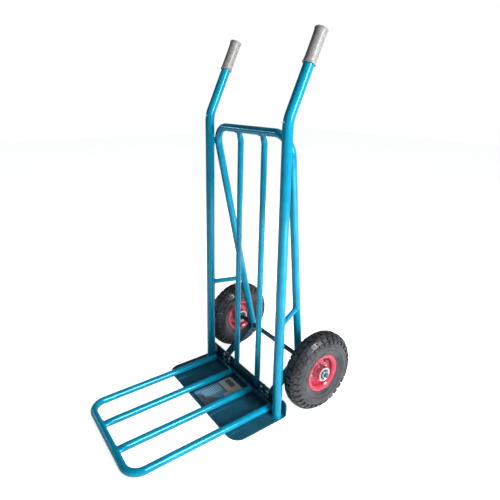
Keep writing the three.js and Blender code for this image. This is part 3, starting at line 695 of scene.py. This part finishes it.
def make_tie(side, sign):
    front, back = tie_line(sign)
    line = (back - front).normalized()
    shape = round_tube([(front + line * 8, line), (back - line * 5, line)], TIE_R, 24)
    new_piece(f"{side}_side_tie", one_shape(shape), [BLUE], "root", [f"{side}_tie"])


make_hoop()
for side, sign in SIDES:
    make_back_bar(side, sign)
    make_tie(side, sign)


# ---- axle and the flat arms that carry it ----


def on_axle(x):
    """The place on the axle of a shape made about the X axis."""
    return Matrix.Translation((x, AXLE_Y, AXLE_Z))


def make_axle():
    """A round bar with chamfered ends and a collar inboard of each wheel."""
    stop = WHEEL_X - HUB_HALF - 2.1
    half = rounded([
        (0, AXLE_END_X), (AXLE_R - 2.2, AXLE_END_X, 0.8), (AXLE_R, AXLE_END_X - 2.2, 0.8), (AXLE_R, stop),
        (10.4, stop, 0.6), (11, stop - 0.8, 0.4), (11, stop - 3.2, 0.4), (10.4, stop - 4, 0.6),
        (AXLE_R, stop - 4),
    ], 2, closed=False)
    new_piece("axle_bar", one_shape(turned(mirrored(half), 36, closed=False)), [AXLE_BLUE_WITH_PAINTED_SHADE], "root",
              ["axle"], on_axle(0))


def arm_slope():
    """An arm's slope and length, from the flange to the axle."""
    rise, run = AXLE_Z - ARM_FOOT_Z, AXLE_Y - FLANGE_Y - SHEET
    length = hypot(rise, run)
    return atan2(rise, run) - ARM_DROP / length, length


def make_arm(side, sign):
    """A flat bar with rolled edges. Its foot is cut square to the flange and its end is rounded."""
    slope, length = arm_slope()
    shape = bmesh.new()
    bmesh.ops.create_cube(shape, size=1)
    bmesh.ops.scale(shape, vec=(2 * ARM_HALF_WIDTH, length + 20, ARM_THICKNESS), verts=shape.verts)
    bmesh.ops.translate(shape, vec=(0, (length - 20) / 2, 0), verts=shape.verts)
    end = [e for e in shape.edges if all(v.co.y > length - 10 for v in e.verts)
           and abs(e.verts[0].co.z - e.verts[1].co.z) > 1]
    bmesh.ops.bevel(shape, geom=end, offset=9, segments=5, profile=0.5, affect="EDGES", material=-1)
    soften(shape, 1.1, 2)
    foot = Matrix.Translation((sign * ARM_X, FLANGE_Y + SHEET, ARM_FOOT_Z))
    shape.transform(foot @ Matrix.Rotation(slope, 4, "X"))
    bmesh.ops.bisect_plane(shape, geom=everything(shape), plane_co=(0, FLANGE_Y + SHEET - 0.2, 0),
                           plane_no=(0, -1, 0), clear_outer=True)
    rim = [e for e in shape.edges if e.is_boundary]
    bmesh.ops.edgeloop_fill(shape, edges=rim)
    new_piece(f"{side}_axle_arm_bar", one_shape(shape), [BLUE_WITH_PAINTED_SHADE], "root", [f"{side}_axle_arm"])


make_axle()
for side, sign in SIDES:
    make_arm(side, sign)


# ---- hinges ----


def curled_leaf(profile, stations, window_from, half_gap, thickness):
    """A leaf of sheet: a (y, z) profile drawn across X, less the middle of its curl."""
    shape = bmesh.new()
    verts = [shape.verts.new((stations[0], y, z)) for y, z in profile]
    edges = [shape.edges.new(pair) for pair in zip(verts, verts[1:])]
    for before, after in zip(stations, stations[1:]):
        made = bmesh.ops.extrude_edge_only(shape, edges=edges)["geom"]
        edges = [g for g in made if isinstance(g, bmesh.types.BMEdge) and g.is_boundary
                 and abs(g.verts[0].co.x - g.verts[1].co.x) < 0.01]
        bmesh.ops.translate(shape, vec=(after - before, 0, 0), verts=new_verts(made))
    middle = [f for f in shape.faces if abs(f.calc_center_median().x) < half_gap
              and f.calc_center_median().z < window_from]
    bmesh.ops.delete(shape, geom=middle, context="FACES")
    bmesh.ops.recalc_face_normals(shape, faces=shape.faces)
    bmesh.ops.solidify(shape, geom=shape.faces, thickness=thickness)
    return soften(shape, 0.4, 2, 50)


def curl(start_turn, sweep, radius=3.8, steps=18):
    """Points round the hinge's pin, as (y, z)."""
    return [(HINGE_Y + radius * cos(start_turn + sweep * k / steps),
             HINGE_Z + radius * sin(start_turn + sweep * k / steps)) for k in range(steps + 1)]


def make_hinge(side, sign):
    x = sign * HINGE_X
    place = Matrix.Translation((x, 0, 0))
    notch = LEAF_HALF + 0.6
    skin = LEAF_SHEET / 2
    fixed = [(LEAF_Y + skin, LEAF_TOP_Z), (LEAF_Y + skin, 33), (LEAF_Y + skin - 0.4, 29.5)]
    fixed += curl(0.15, -radians(300), 5)
    shape = curled_leaf(fixed, [-HINGE_HALF, -notch, notch, HINGE_HALF], 32.5, notch, LEAF_SHEET)
    new_piece(f"{side}_hinge_plate", one_shape(shape, place), [BLUE_WITH_PAINTED_SHADE], "root",
              [f"{side}_hinge_bracket"])

    moving = [(BAR_FRONT_Y + 1.5, BAR_TOP_Z + 0.3), (8, BAR_TOP_Z + 0.2), (11, BAR_TOP_Z - 0.6)]
    moving += curl(-radians(100), radians(300), 5)
    shape = curled_leaf(moving, [-LEAF_HALF, LEAF_HALF], -1, 0, LEAF_SHEET)
    new_piece(f"{side}_hinge_moving_leaf", one_shape(shape, place), [BLUE_WITH_PAINTED_SHADE], "toe_extension",
              [f"{side}_hinge_leaf"])

    # The pin has a factory head at one end and a rivet's smaller one at the other.
    reach = HINGE_HALF + 1
    pin = turned(rounded([
        (0, -reach - 1), (1.9, -reach - 0.9, 0.8), (3.4, -reach, 0.6), (3.4, -reach + 0.8),
        (PIN_R, -reach + 0.9), (PIN_R, reach), (3.1, reach, 0.5), (2.2, reach + 1.2, 0.8), (0, reach + 1.4),
    ], 3, closed=False), 24, closed=False)
    new_piece(f"{side}_hinge_rivet_pin", one_shape(pin, Matrix.Translation((x, HINGE_Y, HINGE_Z))), [ZINC],
              "root", [f"{side}_hinge_pin"])

    whole = bmesh.new()
    face, back = LEAF_Y - skin - 0.2, FLANGE_Y + SHEET
    for end in (-1, 1):
        bolt_x = x + end * BOLT_PITCH / 2
        forwards = along_x((bolt_x, face, BOLT_Z), (bolt_x, face - 1, BOLT_Z))
        backwards = along_x((bolt_x, back, BOLT_Z), (bolt_x, back + 1, BOLT_Z))
        put(whole, turned(flat_ring(BOLT_R + 0.2, 6.6, 1.1, 0.4), 32), forwards)
        put(whole, hexagon(HINGE_HEX_R, 3.6), forwards @ Matrix.Translation((1, 0, 0)))
        put(whole, hexagon(HINGE_HEX_R, 5), backwards)
        put(whole, threaded_end(BOLT_R, 8.2), backwards)
    names = [f"{side}_hinge_{kind}_{where}" for kind in ("bolt", "nut") for where in ("inner", "outer")]
    new_piece(f"{side}_hinge_fasteners", whole, [ZINC], "root", names, sharp=30)


for side, sign in SIDES:
    make_hinge(side, sign)


# ---- toe extension ----


def make_extension():
    x, front = EXTENSION_X, EXTENSION_FRONT_Y
    corners = [(-x, EXTENSION_BACK_Y, EXTENSION_Z), (-x, front, EXTENSION_Z), (x, front, EXTENSION_Z),
               (x, EXTENSION_BACK_Y, EXTENSION_Z)]
    shape = round_tube(bent_route(corners, EXTENSION_BEND_R, 16), EXTENSION_R, 32)
    new_piece("extension_outer_tube", one_shape(shape), [BLUE], "toe_extension",
              ["extension_hoop"])

    for side, sign in SIDES:
        start = Vector((sign * INNER_TUBE_X, front + 3, EXTENSION_Z))
        end = Vector((sign * INNER_TUBE_X, EXTENSION_BACK_Y, EXTENSION_Z))
        line = (end - start).normalized()
        route = [(start + line * d, line) for d in (0, 9, 15, 21, 28, 36)] + [(end, line)]
        sections = [crimp(EXTENSION_R, s) for s in (0.9, 0.9, 0.75, 0.4, 0.1, 0, 0)]
        shape = swept(route, sections, 28, wide=Vector((1, 0, 0)))
        new_piece(f"{side}_extension_inner_tube", one_shape(shape), [BLUE], "toe_extension",
                  [f"{side}_extension_tube"])

    # An angle bar: its web stands across the tubes' ends and its shelf runs back to the hinges.
    profile = rounded([(BAR_FRONT_Y, BAR_LOW_Z), (BAR_FRONT_Y, BAR_TOP_Z, 3),
                       (BAR_FRONT_Y + BAR_DEPTH, BAR_TOP_Z)], 5, closed=False)
    shape = drawn_sheet(profile, EXTENSION_X + EXTENSION_R)
    # Its faces are made to point forwards and up, so that the thickness grows backwards and down.
    bmesh.ops.recalc_face_normals(shape, faces=shape.faces)
    if min(shape.faces, key=lambda f: f.calc_center_median().y).normal.y > 0:
        bmesh.ops.reverse_faces(shape, faces=shape.faces)
    bmesh.ops.solidify(shape, geom=shape.faces, thickness=BAR_SHEET)
    soften(shape, 0.5, 2, 50)
    new_piece("extension_angle_bar", one_shape(shape), [BLUE_WITH_PAINTED_SHADE], "toe_extension", ["hinge_bar"])


make_extension()


# ---- welds ----


def make_frame_welds():
    whole = bmesh.new()
    slope, length = arm_slope()
    for _, sign in SIDES:
        bead(whole, ring_path((sign * UPRIGHT_X, 0, SHEET + 0.6), (0, 0, 1), UPRIGHT_R + 0.6, 48), 2.6)

        # The hoop's bend lies against the upright, with a run of weld down each side of the touch.
        hoop_axis = Vector((sign * contact_x, contact_y, HOOP_TOP_Z - contact_drop))
        upright_axis = Vector((sign * UPRIGHT_X, 0, hoop_axis.z))
        across = (hoop_axis - upright_axis).normalized()
        touch = upright_axis + across * UPRIGHT_R
        aside = Vector((0, 0, 1)).cross(across) * 4.6
        for direction in (-1, 1):
            middle = touch + aside * direction
            bead(whole, [middle - Vector((0, 0, 13)), middle, middle + Vector((0, 0, 9))], 2.3, closed=False)

        front, back = tie_line(sign)
        top, foot = hoop_leg(sign)
        bead(whole, saddle(front, back - front, TIE_R + 0.3, (0, 0, 1), UPRIGHT_R + 0.3))
        bead(whole, saddle(back, front - back, TIE_R + 0.3, top - foot, HOOP_R + 0.3))

        bar_x = sign * BAR_X
        bar_top = Vector((bar_x, hoop_top_y, HOOP_TOP_Z))
        down = Vector((bar_x, *BAR_KNEE)) - bar_top - Vector((0, 4, 0))
        bead(whole, saddle(bar_top, down, BAR_R + 0.2, (1, 0, 0), HOOP_R + 0.3), 2.2)
        for edge in (-1, 1):
            for y in (FLANGE_Y - 0.6, FLANGE_Y + SHEET + 0.6):
                at = bar_x + edge * (BAR_R + 1.4)
                bead(whole, [Vector((at, y, 22)), Vector((at, y, FLANGE_TOP - 1))], 2.0, closed=False)

        # Each arm is welded above and below at both ends.
        for face in (-1, 1):
            rise = face * ARM_THICKNESS / 2
            for distance, radius in ((0, 2.4), (length - 8, 2.2)):
                y = FLANGE_Y + SHEET + distance * cos(slope) - rise * sin(slope)
                z = ARM_FOOT_Z + distance * sin(slope) + rise * cos(slope) * (1.2 if distance == 0 else 1)
                y = max(y, FLANGE_Y + SHEET + 0.8)
                ends = [Vector((sign * ARM_X + s * (ARM_HALF_WIDTH - 1), y, z)) for s in (-1, 1)]
                bead(whole, ends, radius, closed=False)

        # The axle is welded where it comes out of the hoop's legs.
        leg = foot.lerp(top, (AXLE_Z - foot.z) / (top.z - foot.z))
        for face in (-1, 1):
            centre = (leg.x + face * (HOOP_R - 0.8), AXLE_Y, AXLE_Z)
            bead(whole, ring_path(centre, (1, 0, 0), AXLE_R + 1.2), 2.3)
    new_piece("frame_weld_beads", whole, [BLUE], "root", sharp=75)


def make_extension_welds():
    whole = bmesh.new()
    for _, sign in SIDES:
        join = Vector((sign * INNER_TUBE_X, EXTENSION_FRONT_Y, EXTENSION_Z))
        path = saddle(join, (0, 1, 0), EXTENSION_R - 0.6, (1, 0, 0), EXTENSION_R + 0.2)
        bead(whole, [p + Vector(((p.x - join.x) * 0.22, 0, 0)) for p in path], 1.9)

        # Each tube's end is welded to the web down both of its sides.
        for x in (sign * INNER_TUBE_X, sign * EXTENSION_X):
            arc = ring_path((x, BAR_FRONT_Y - 0.9, EXTENSION_Z), (0, 1, 0), EXTENSION_R + 0.2, 48)
            inside = [p for p in arc if BAR_LOW_Z + 1 < p.z < BAR_TOP_Z - 1]
            for half in (-1, 1):
                part = [p for p in inside if (p.x - x) * half > 0]
                bead(whole, sorted(part, key=lambda p: p.z), 1.9, closed=False)
        ends = [Vector((sign * HINGE_X + s * (LEAF_HALF - 1), BAR_FRONT_Y + 1.6, BAR_TOP_Z + 0.8))
                for s in (-1, 1)]
        bead(whole, ends, 1.6, closed=False)
    new_piece("extension_weld_beads", whole, [BLUE], "toe_extension", sharp=75)


make_frame_welds()
make_extension_welds()


# ---- wheels ----

PITCHES, TREAD_DEPTH, DRAFT = 32, 3.6, 0.45

# The tyre's outside from the middle of the crown to the bead, as (radius, along, corner radius).
tyre_outside = rounded([
    (TYRE_R - TREAD_DEPTH, 0), (TYRE_R - TREAD_DEPTH - 1.8, 13.5, 12), (114.2, 25, 14), (101, 32.2, 14),
    (97.4, 33.2), (96.8, 34.1), (95.2, 34.2), (94.6, 33.4), (88, 34.2, 12), (82.4, 33.4), (81.8, 34.2),
    (80.6, 34.0), (80, 32.8), (73, 30.2, 8), (66.2, 26.6, 3), (63.2, 26.2, 1), (62.6, 24.4, 0.6), (56, 22.4),
    (52.2, 19), (52.2, 13),
], 5, closed=False)


def tread_place(across, lift):
    """(radius, along) of a point at a distance from the crown's middle along the outside."""
    left = abs(across)
    for (r0, a0), (r1, a1) in zip(tyre_outside, tyre_outside[1:]):
        run = hypot(r1 - r0, a1 - a0)
        if left <= run:
            break
        left -= run
    tangent = Vector((r1 - r0, a1 - a0)).normalized()
    here = Vector((r0, a0)) + tangent * left
    here += Vector((tangent.y, -tangent.x)) * lift
    return here.x, here.y * (1 if across >= 0 else -1)


def tread_block(into, round_from, round_to, from_mm, to_mm, cuts, low_end=1.0, skew=0.0):
    """One lug, drawn flat as (round, across, lift), then wrapped over the tyre's outside. Its far
    side can be lower, and the skew shifts that side round the tyre."""
    block = bmesh.new()
    bmesh.ops.create_cube(block, size=1)
    bmesh.ops.translate(block, vec=(0.5, 0.5, 0.5), verts=block.verts)
    for k in range(1, cuts + 1):
        bmesh.ops.bisect_plane(block, geom=everything(block), plane_co=(0, k / (cuts + 1), 0),
                               plane_no=(0, 1, 0))
    for v in block.verts:
        u, s, h = v.co
        height = TREAD_DEPTH * (1 + (low_end - 1) * max(0, 2 * s - 1))
        inset = DRAFT * h  # lugs are narrower at the top, so that they leave the mould
        u_mm = round_from + (round_to - round_from) * u + inset * (1 - 2 * u) + skew * s
        s_mm = from_mm + (to_mm - from_mm) * s + inset * (1 - 2 * s) * (1 if to_mm > from_mm else -1)
        radius, along = tread_place(s_mm, height * h if h else -0.8)
        turn = u_mm / TYRE_R
        v.co = (along, radius * sin(turn), radius * cos(turn))
    bmesh.ops.bevel(block, geom=sharp_edges(block.edges, 50), offset=0.45, segments=1, profile=0.5,
                    affect="EDGES", material=-1)
    put(into, block)


def make_tyre(side, place):
    """A hollow carcass with one row of lugs on the crown and three on each side of it: a middle, a
    shoulder and a side row, half a pitch apart from those on the other side."""
    whole = bmesh.new()
    inside, inner_crown = [(64, 17), (74, 25), (93, 28.5), (108, 25), (119, 15)], (122, 0)
    half = tyre_outside + inside
    put(whole, turned(half + [inner_crown] + facing(reversed(half[1:]), -1), 116))

    pitch = 2 * pi * TYRE_R / PITCHES
    one = bmesh.new()
    for sign in (-1, 1):
        stagger = pitch / 2 if sign > 0 else 0
        tread_block(one, stagger, stagger + pitch * 0.74, sign * 19.8, sign * 30.5, 2, skew=1.5)
        tread_block(one, stagger + pitch * 0.16, stagger + pitch * 0.78, sign * 32.2, sign * 41.5, 1,
                    low_end=0.5)
        for half in (0, 0.5):
            start = stagger + pitch * (half + 0.1)
            tread_block(one, start, start + pitch * 0.44, sign * 9.4, sign * 17.4, 1,
                        skew=2.6 * (1 - 4 * half))
    for half in (0, 0.5):
        start = pitch * half
        tread_block(one, start, start + pitch * 0.44, -7.2, 7.2, 2, skew=5 * (1 - 4 * half))
    bmesh.ops.spin(one, geom=everything(one), cent=(0, 0, 0), axis=(1, 0, 0),
                   angle=2 * pi * (PITCHES - 1) / PITCHES, steps=PITCHES - 1, use_duplicate=True)
    put(whole, one, finish_index=1)
    new_piece(f"{side}_treaded_tyre", whole, [SIDEWALL, TREAD], f"{side}_wheel", [f"{side}_tyre"],
              place, sharp=30)


def make_rim(side, place):
    """Two pressed halves, each with a flat web welded to the hub, a deep dish, a flare and a rolled
    lip."""
    outline = rounded([
        (HUB_R + 0.2, WEB_FACE), (39.5, WEB_FACE, 7), (46.4, 9, 6), (47.2, 18.6, 5), (52.6, 23.4, 5),
        (60.2, 25.6, 2.2), (62.6, 24.6, 1.4), (62.0, 22.4, 0.8), (59.4, 22.8, 0.8), (54, 21.4, 4),
        (49.6, 17.2, 4), (49.2, 8, 6), (42, 0.2, 6), (HUB_R + 0.2, 0.2),
    ], 5)
    for end, direction in ENDS:
        whole = bmesh.new()
        put(whole, turned(facing(outline, direction), 96))
        bead(whole, ring_path((direction * 2.4, 0, 0), (1, 0, 0), HUB_R + 0.9, 60), 1.9)
        new_piece(f"{side}_pressed_rim_{end}", whole, [RED], f"{side}_wheel",
                  [f"{side}_rim_{end}"], place, sharp=50)


def make_hub(side, place):
    """A sleeve with a pocket for a bearing at each end."""
    pocket, shoulder = BEARING_R, HUB_HALF - BEARING_WIDTH
    half = rounded([(HUB_R, HUB_HALF, 1), (pocket + 1.2, HUB_HALF), (pocket, HUB_HALF - 1.2),
                    (pocket, shoulder), (12, shoulder)], 3, closed=False)
    shape = soften(turned(mirrored(half), 64), 0.7, 2, 60)
    new_piece(f"{side}_hub_sleeve", one_shape(shape), [ZINC], f"{side}_wheel", [f"{side}_hub"], place)


def make_bearings(side, place):
    """Sealed ball bearings: two bright races with a black dished seal between them."""
    face = HUB_HALF - 1.4
    back = face - BEARING_WIDTH + 2
    seal = rounded([
        (10.8, face - 0.9), (11.6, face - 0.9, 0.4), (12.2, face - 1.4, 0.4), (14, face - 1.4, 0.4),
        (15.4, face - 0.7, 0.3), (16.1, face - 0.7), (16.1, face - 3), (10.8, face - 3),
    ], 3)
    for end, direction in ENDS:
        whole = bmesh.new()
        for low, high in ((16.0, 17.4), (8.4, 10.9)):
            race = rounded([(low, face, 0.4), (high, face, 0.7), (high, back, 0.4), (low, back, 0.4)], 3)
            put(whole, turned(facing(race, direction), 48))
        put(whole, turned(facing(seal, direction), 48), finish_index=1)
        new_piece(f"{side}_sealed_bearing_{end}", whole, [ZINC, BUTYL], f"{side}_wheel",
                  [f"{side}_bearing_{end}"], place)


def make_rim_bolts(side, place):
    """The bolts that hold the rim's halves together, heads outboard and nuts inboard."""
    whole = bmesh.new()
    for k in range(BOLT_COUNT):
        turn = Matrix.Rotation(-(BOLT_TURN + 2 * pi * k / BOLT_COUNT), 4, "X")
        for direction, hex_height in ((1, 4.2), (-1, 5.2)):
            seat = direction * WEB_FACE
            at = turn @ along_x((seat, 0, BOLT_CIRCLE), (seat + direction, 0, BOLT_CIRCLE))
            put(whole, turned(flat_ring(2.5, 6.4, 0.8, 0.3), 28), at)
            put(whole, hexagon(RIM_HEX_R, hex_height), at)
        put(whole, threaded_end(BOLT_R, 8), at)
    new_piece(f"{side}_rim_bolt_set", whole, [ZINC], f"{side}_wheel",
              [f"{side}_rim_bolt_{k + 1}" for k in range(BOLT_COUNT)], place, sharp=30)


def make_inner_tube(side, place):
    """The butyl tube and its valve, which leans out of the rim's barrel through a grommet."""
    whole = bmesh.new()
    ring = [(TUBE_RING_R + TUBE_HALF_R * cos(k * pi / 12), TUBE_HALF_X * sin(k * pi / 12)) for k in range(24)]
    put(whole, turned(ring, 72))
    turn = Matrix.Rotation(-VALVE_TURN, 4, "X")
    root_to_tip = turn @ along_x(VALVE_ROOT, VALVE_TIP)
    length = (VALVE_TIP - VALVE_ROOT).length
    stem = rounded([
        (0, -2), (6, -2), (4.6, 6, 3), (4.0, length - 13, 1), (3.2, length - 12.4), (3.2, length - 10.6),
        (3.9, length - 10.4, 0.4), (3.9, length - 1, 1), (3.0, length, 0.5), (0, length),
    ], 3, closed=False)
    put(whole, turned(stem, 24, closed=False), root_to_tip)
    grommet = rounded([(4, -1.6), (8.4, -1.6, 0.6), (7.4, 2.2, 1), (4.8, 2.8, 0.5), (4, 2.8)], 3)
    at = VALVE_ROOT.lerp(VALVE_TIP, 0.62)
    put(whole, turned(grommet, 28), turn @ along_x(at, VALVE_TIP))
    new_piece(f"{side}_tube_and_valve", whole, [BUTYL], f"{side}_wheel",
              [f"{side}_inner_tube"], place)


def make_axle_hardware(side, sign):
    """The plain washers and the dished push-on ring, which stay still on the axle."""
    flat = flat_ring(WASHER_BORE, WASHER_R, WASHER_THICKNESS, 0.4, 3)
    for end, at in (("outer", WHEEL_X + HUB_HALF + 0.2), ("inner", WHEEL_X - HUB_HALF - 1.7)):
        new_piece(f"{side}_axle_washer_{end}", one_shape(turned(facing(flat, sign), 48)), [ZINC], "root",
                  [f"{side}_washer_{end}"], on_axle(sign * at))
    at = WHEEL_X + HUB_HALF + 1.9
    dished = rounded([
        (PUSH_RING_R, 0, 0.3), (PUSH_RING_R, 0.7, 0.3), (9.8, 0.9, 0.5), (8.5, 1.6, 0.3), (8.1, 1.3),
        (9.2, 0.3, 0.5), (9.6, 0),
    ], 3)
    new_piece(f"{side}_push_on_ring", one_shape(turned(facing(dished, sign), 48)), [ZINC], "root",
              [f"{side}_push_nut"], on_axle(sign * at))


for side, sign in SIDES:
    wheel_place = on_axle(sign * WHEEL_X)
    if sign < 0:
        wheel_place @= Matrix.Rotation(pi, 4, "Z")
    for make in (make_tyre, make_rim, make_hub, make_bearings, make_rim_bolts, make_inner_tube):
        make(side, wheel_place)
    make_axle_hardware(side, sign)


# ---- studio ----


def make_floor():
    shape = bmesh.new()
    bmesh.ops.create_grid(shape, x_segments=8, y_segments=8, size=9)
    mesh = bpy.data.meshes.new("studio_floor")
    shape.to_mesh(mesh)
    shape.free()
    mesh.materials.append(pale_board())
    floor = bpy.data.objects.new("studio_floor", mesh)
    bpy.context.scene.collection.objects.link(floor)


def add_light(name, place, aim, power, width, height, in_reflections=True):
    """A rectangular light, in metres and watts, that glossy surfaces mirror or not."""
    lamp = bpy.data.lights.new(name, "AREA")
    lamp.shape = "RECTANGLE"
    lamp.size, lamp.size_y = width, height
    lamp.energy = power
    light = bpy.data.objects.new(name, lamp)
    light.location = place
    light.rotation_euler = (Vector(aim) - Vector(place)).to_track_quat("-Z", "Y").to_euler()
    light.visible_glossy = in_reflections
    bpy.context.scene.collection.objects.link(light)


def light_studio():
    """A low soft box and a high window on the right, weak lights on the left, behind and overhead,
    and a white surround that throws little, most of it from the right."""
    add_light("side_soft_box", (2.3, 0.5, 0.72), (0, 0, 0.5), 72, 1.0, 1.35, in_reflections=False)
    add_light("high_window", (2.35, 0.6, 1.75), (0, -0.1, 0.4), 76, 0.8, 1.7)
    add_light("left_strip", (-2.4, -1.85, 1.3), (0, 0, 0.6), 8, 1.1, 0.12)
    add_light("back_fill", (-1.6, 2.15, 1.3), (0, 0, 0.5), 17, 1.6, 1.2, in_reflections=False)
    add_light("overhead_soft_box", (0.2, 0.3, 3.0), (0, 0, 0.3), 4, 1.8, 1.8, in_reflections=False)
    world = bpy.data.worlds.new("studio_surround")
    world.use_nodes = True
    tree = world.node_tree
    tree.nodes.clear()
    direction = add(tree, "TexCoord").outputs["Generated"]
    brighter_side = (0.95, 0.2, -0.25)
    towards = add(tree, "VectorMath", {0: direction, 1: brighter_side}, operation="DOT_PRODUCT")
    strength = spread(tree, towards.outputs["Value"], -0.8, 0.8, 0.05, 0.46)
    thrown = add(tree, "Background", {"Color": linear("#f3f6fa"), "Strength": strength})
    seen = add(tree, "Background", {"Color": (1, 1, 1, 1), "Strength": 1.0})
    path = add(tree, "LightPath")
    mix = add(tree, "MixShader",
              {0: path.outputs["Is Camera Ray"], 1: thrown.outputs[0], 2: seen.outputs[0]})
    add(tree, "OutputWorld", {"Surface": mix.outputs[0]})
    bpy.context.scene.world = world
    bpy.context.scene.view_settings.view_transform = "Standard"


def add_camera():
    yaw, pitch, roll = CAMERA_YAW, CAMERA_PITCH, CAMERA_ROLL
    back = Vector((sin(yaw) * cos(pitch), -cos(yaw) * cos(pitch), sin(pitch)))
    right = Vector((cos(yaw), sin(yaw), 0))
    up = back.cross(right)
    across = right * cos(roll) + up * sin(roll)
    upward = up * cos(roll) - right * sin(roll)
    lens = bpy.data.cameras.new("camera")
    lens.sensor_width, lens.lens = CAMERA_SENSOR, CAMERA_LENS
    lens.shift_x, lens.shift_y = CAMERA_SHIFT
    camera = bpy.data.objects.new("camera", lens)
    turn = Matrix((across, upward, back)).transposed().to_4x4()
    camera.matrix_world = Matrix.Translation(CAMERA_PLACE) @ turn
    bpy.context.scene.collection.objects.link(camera)
    bpy.context.scene.camera = camera


make_floor()
light_studio()
add_camera()
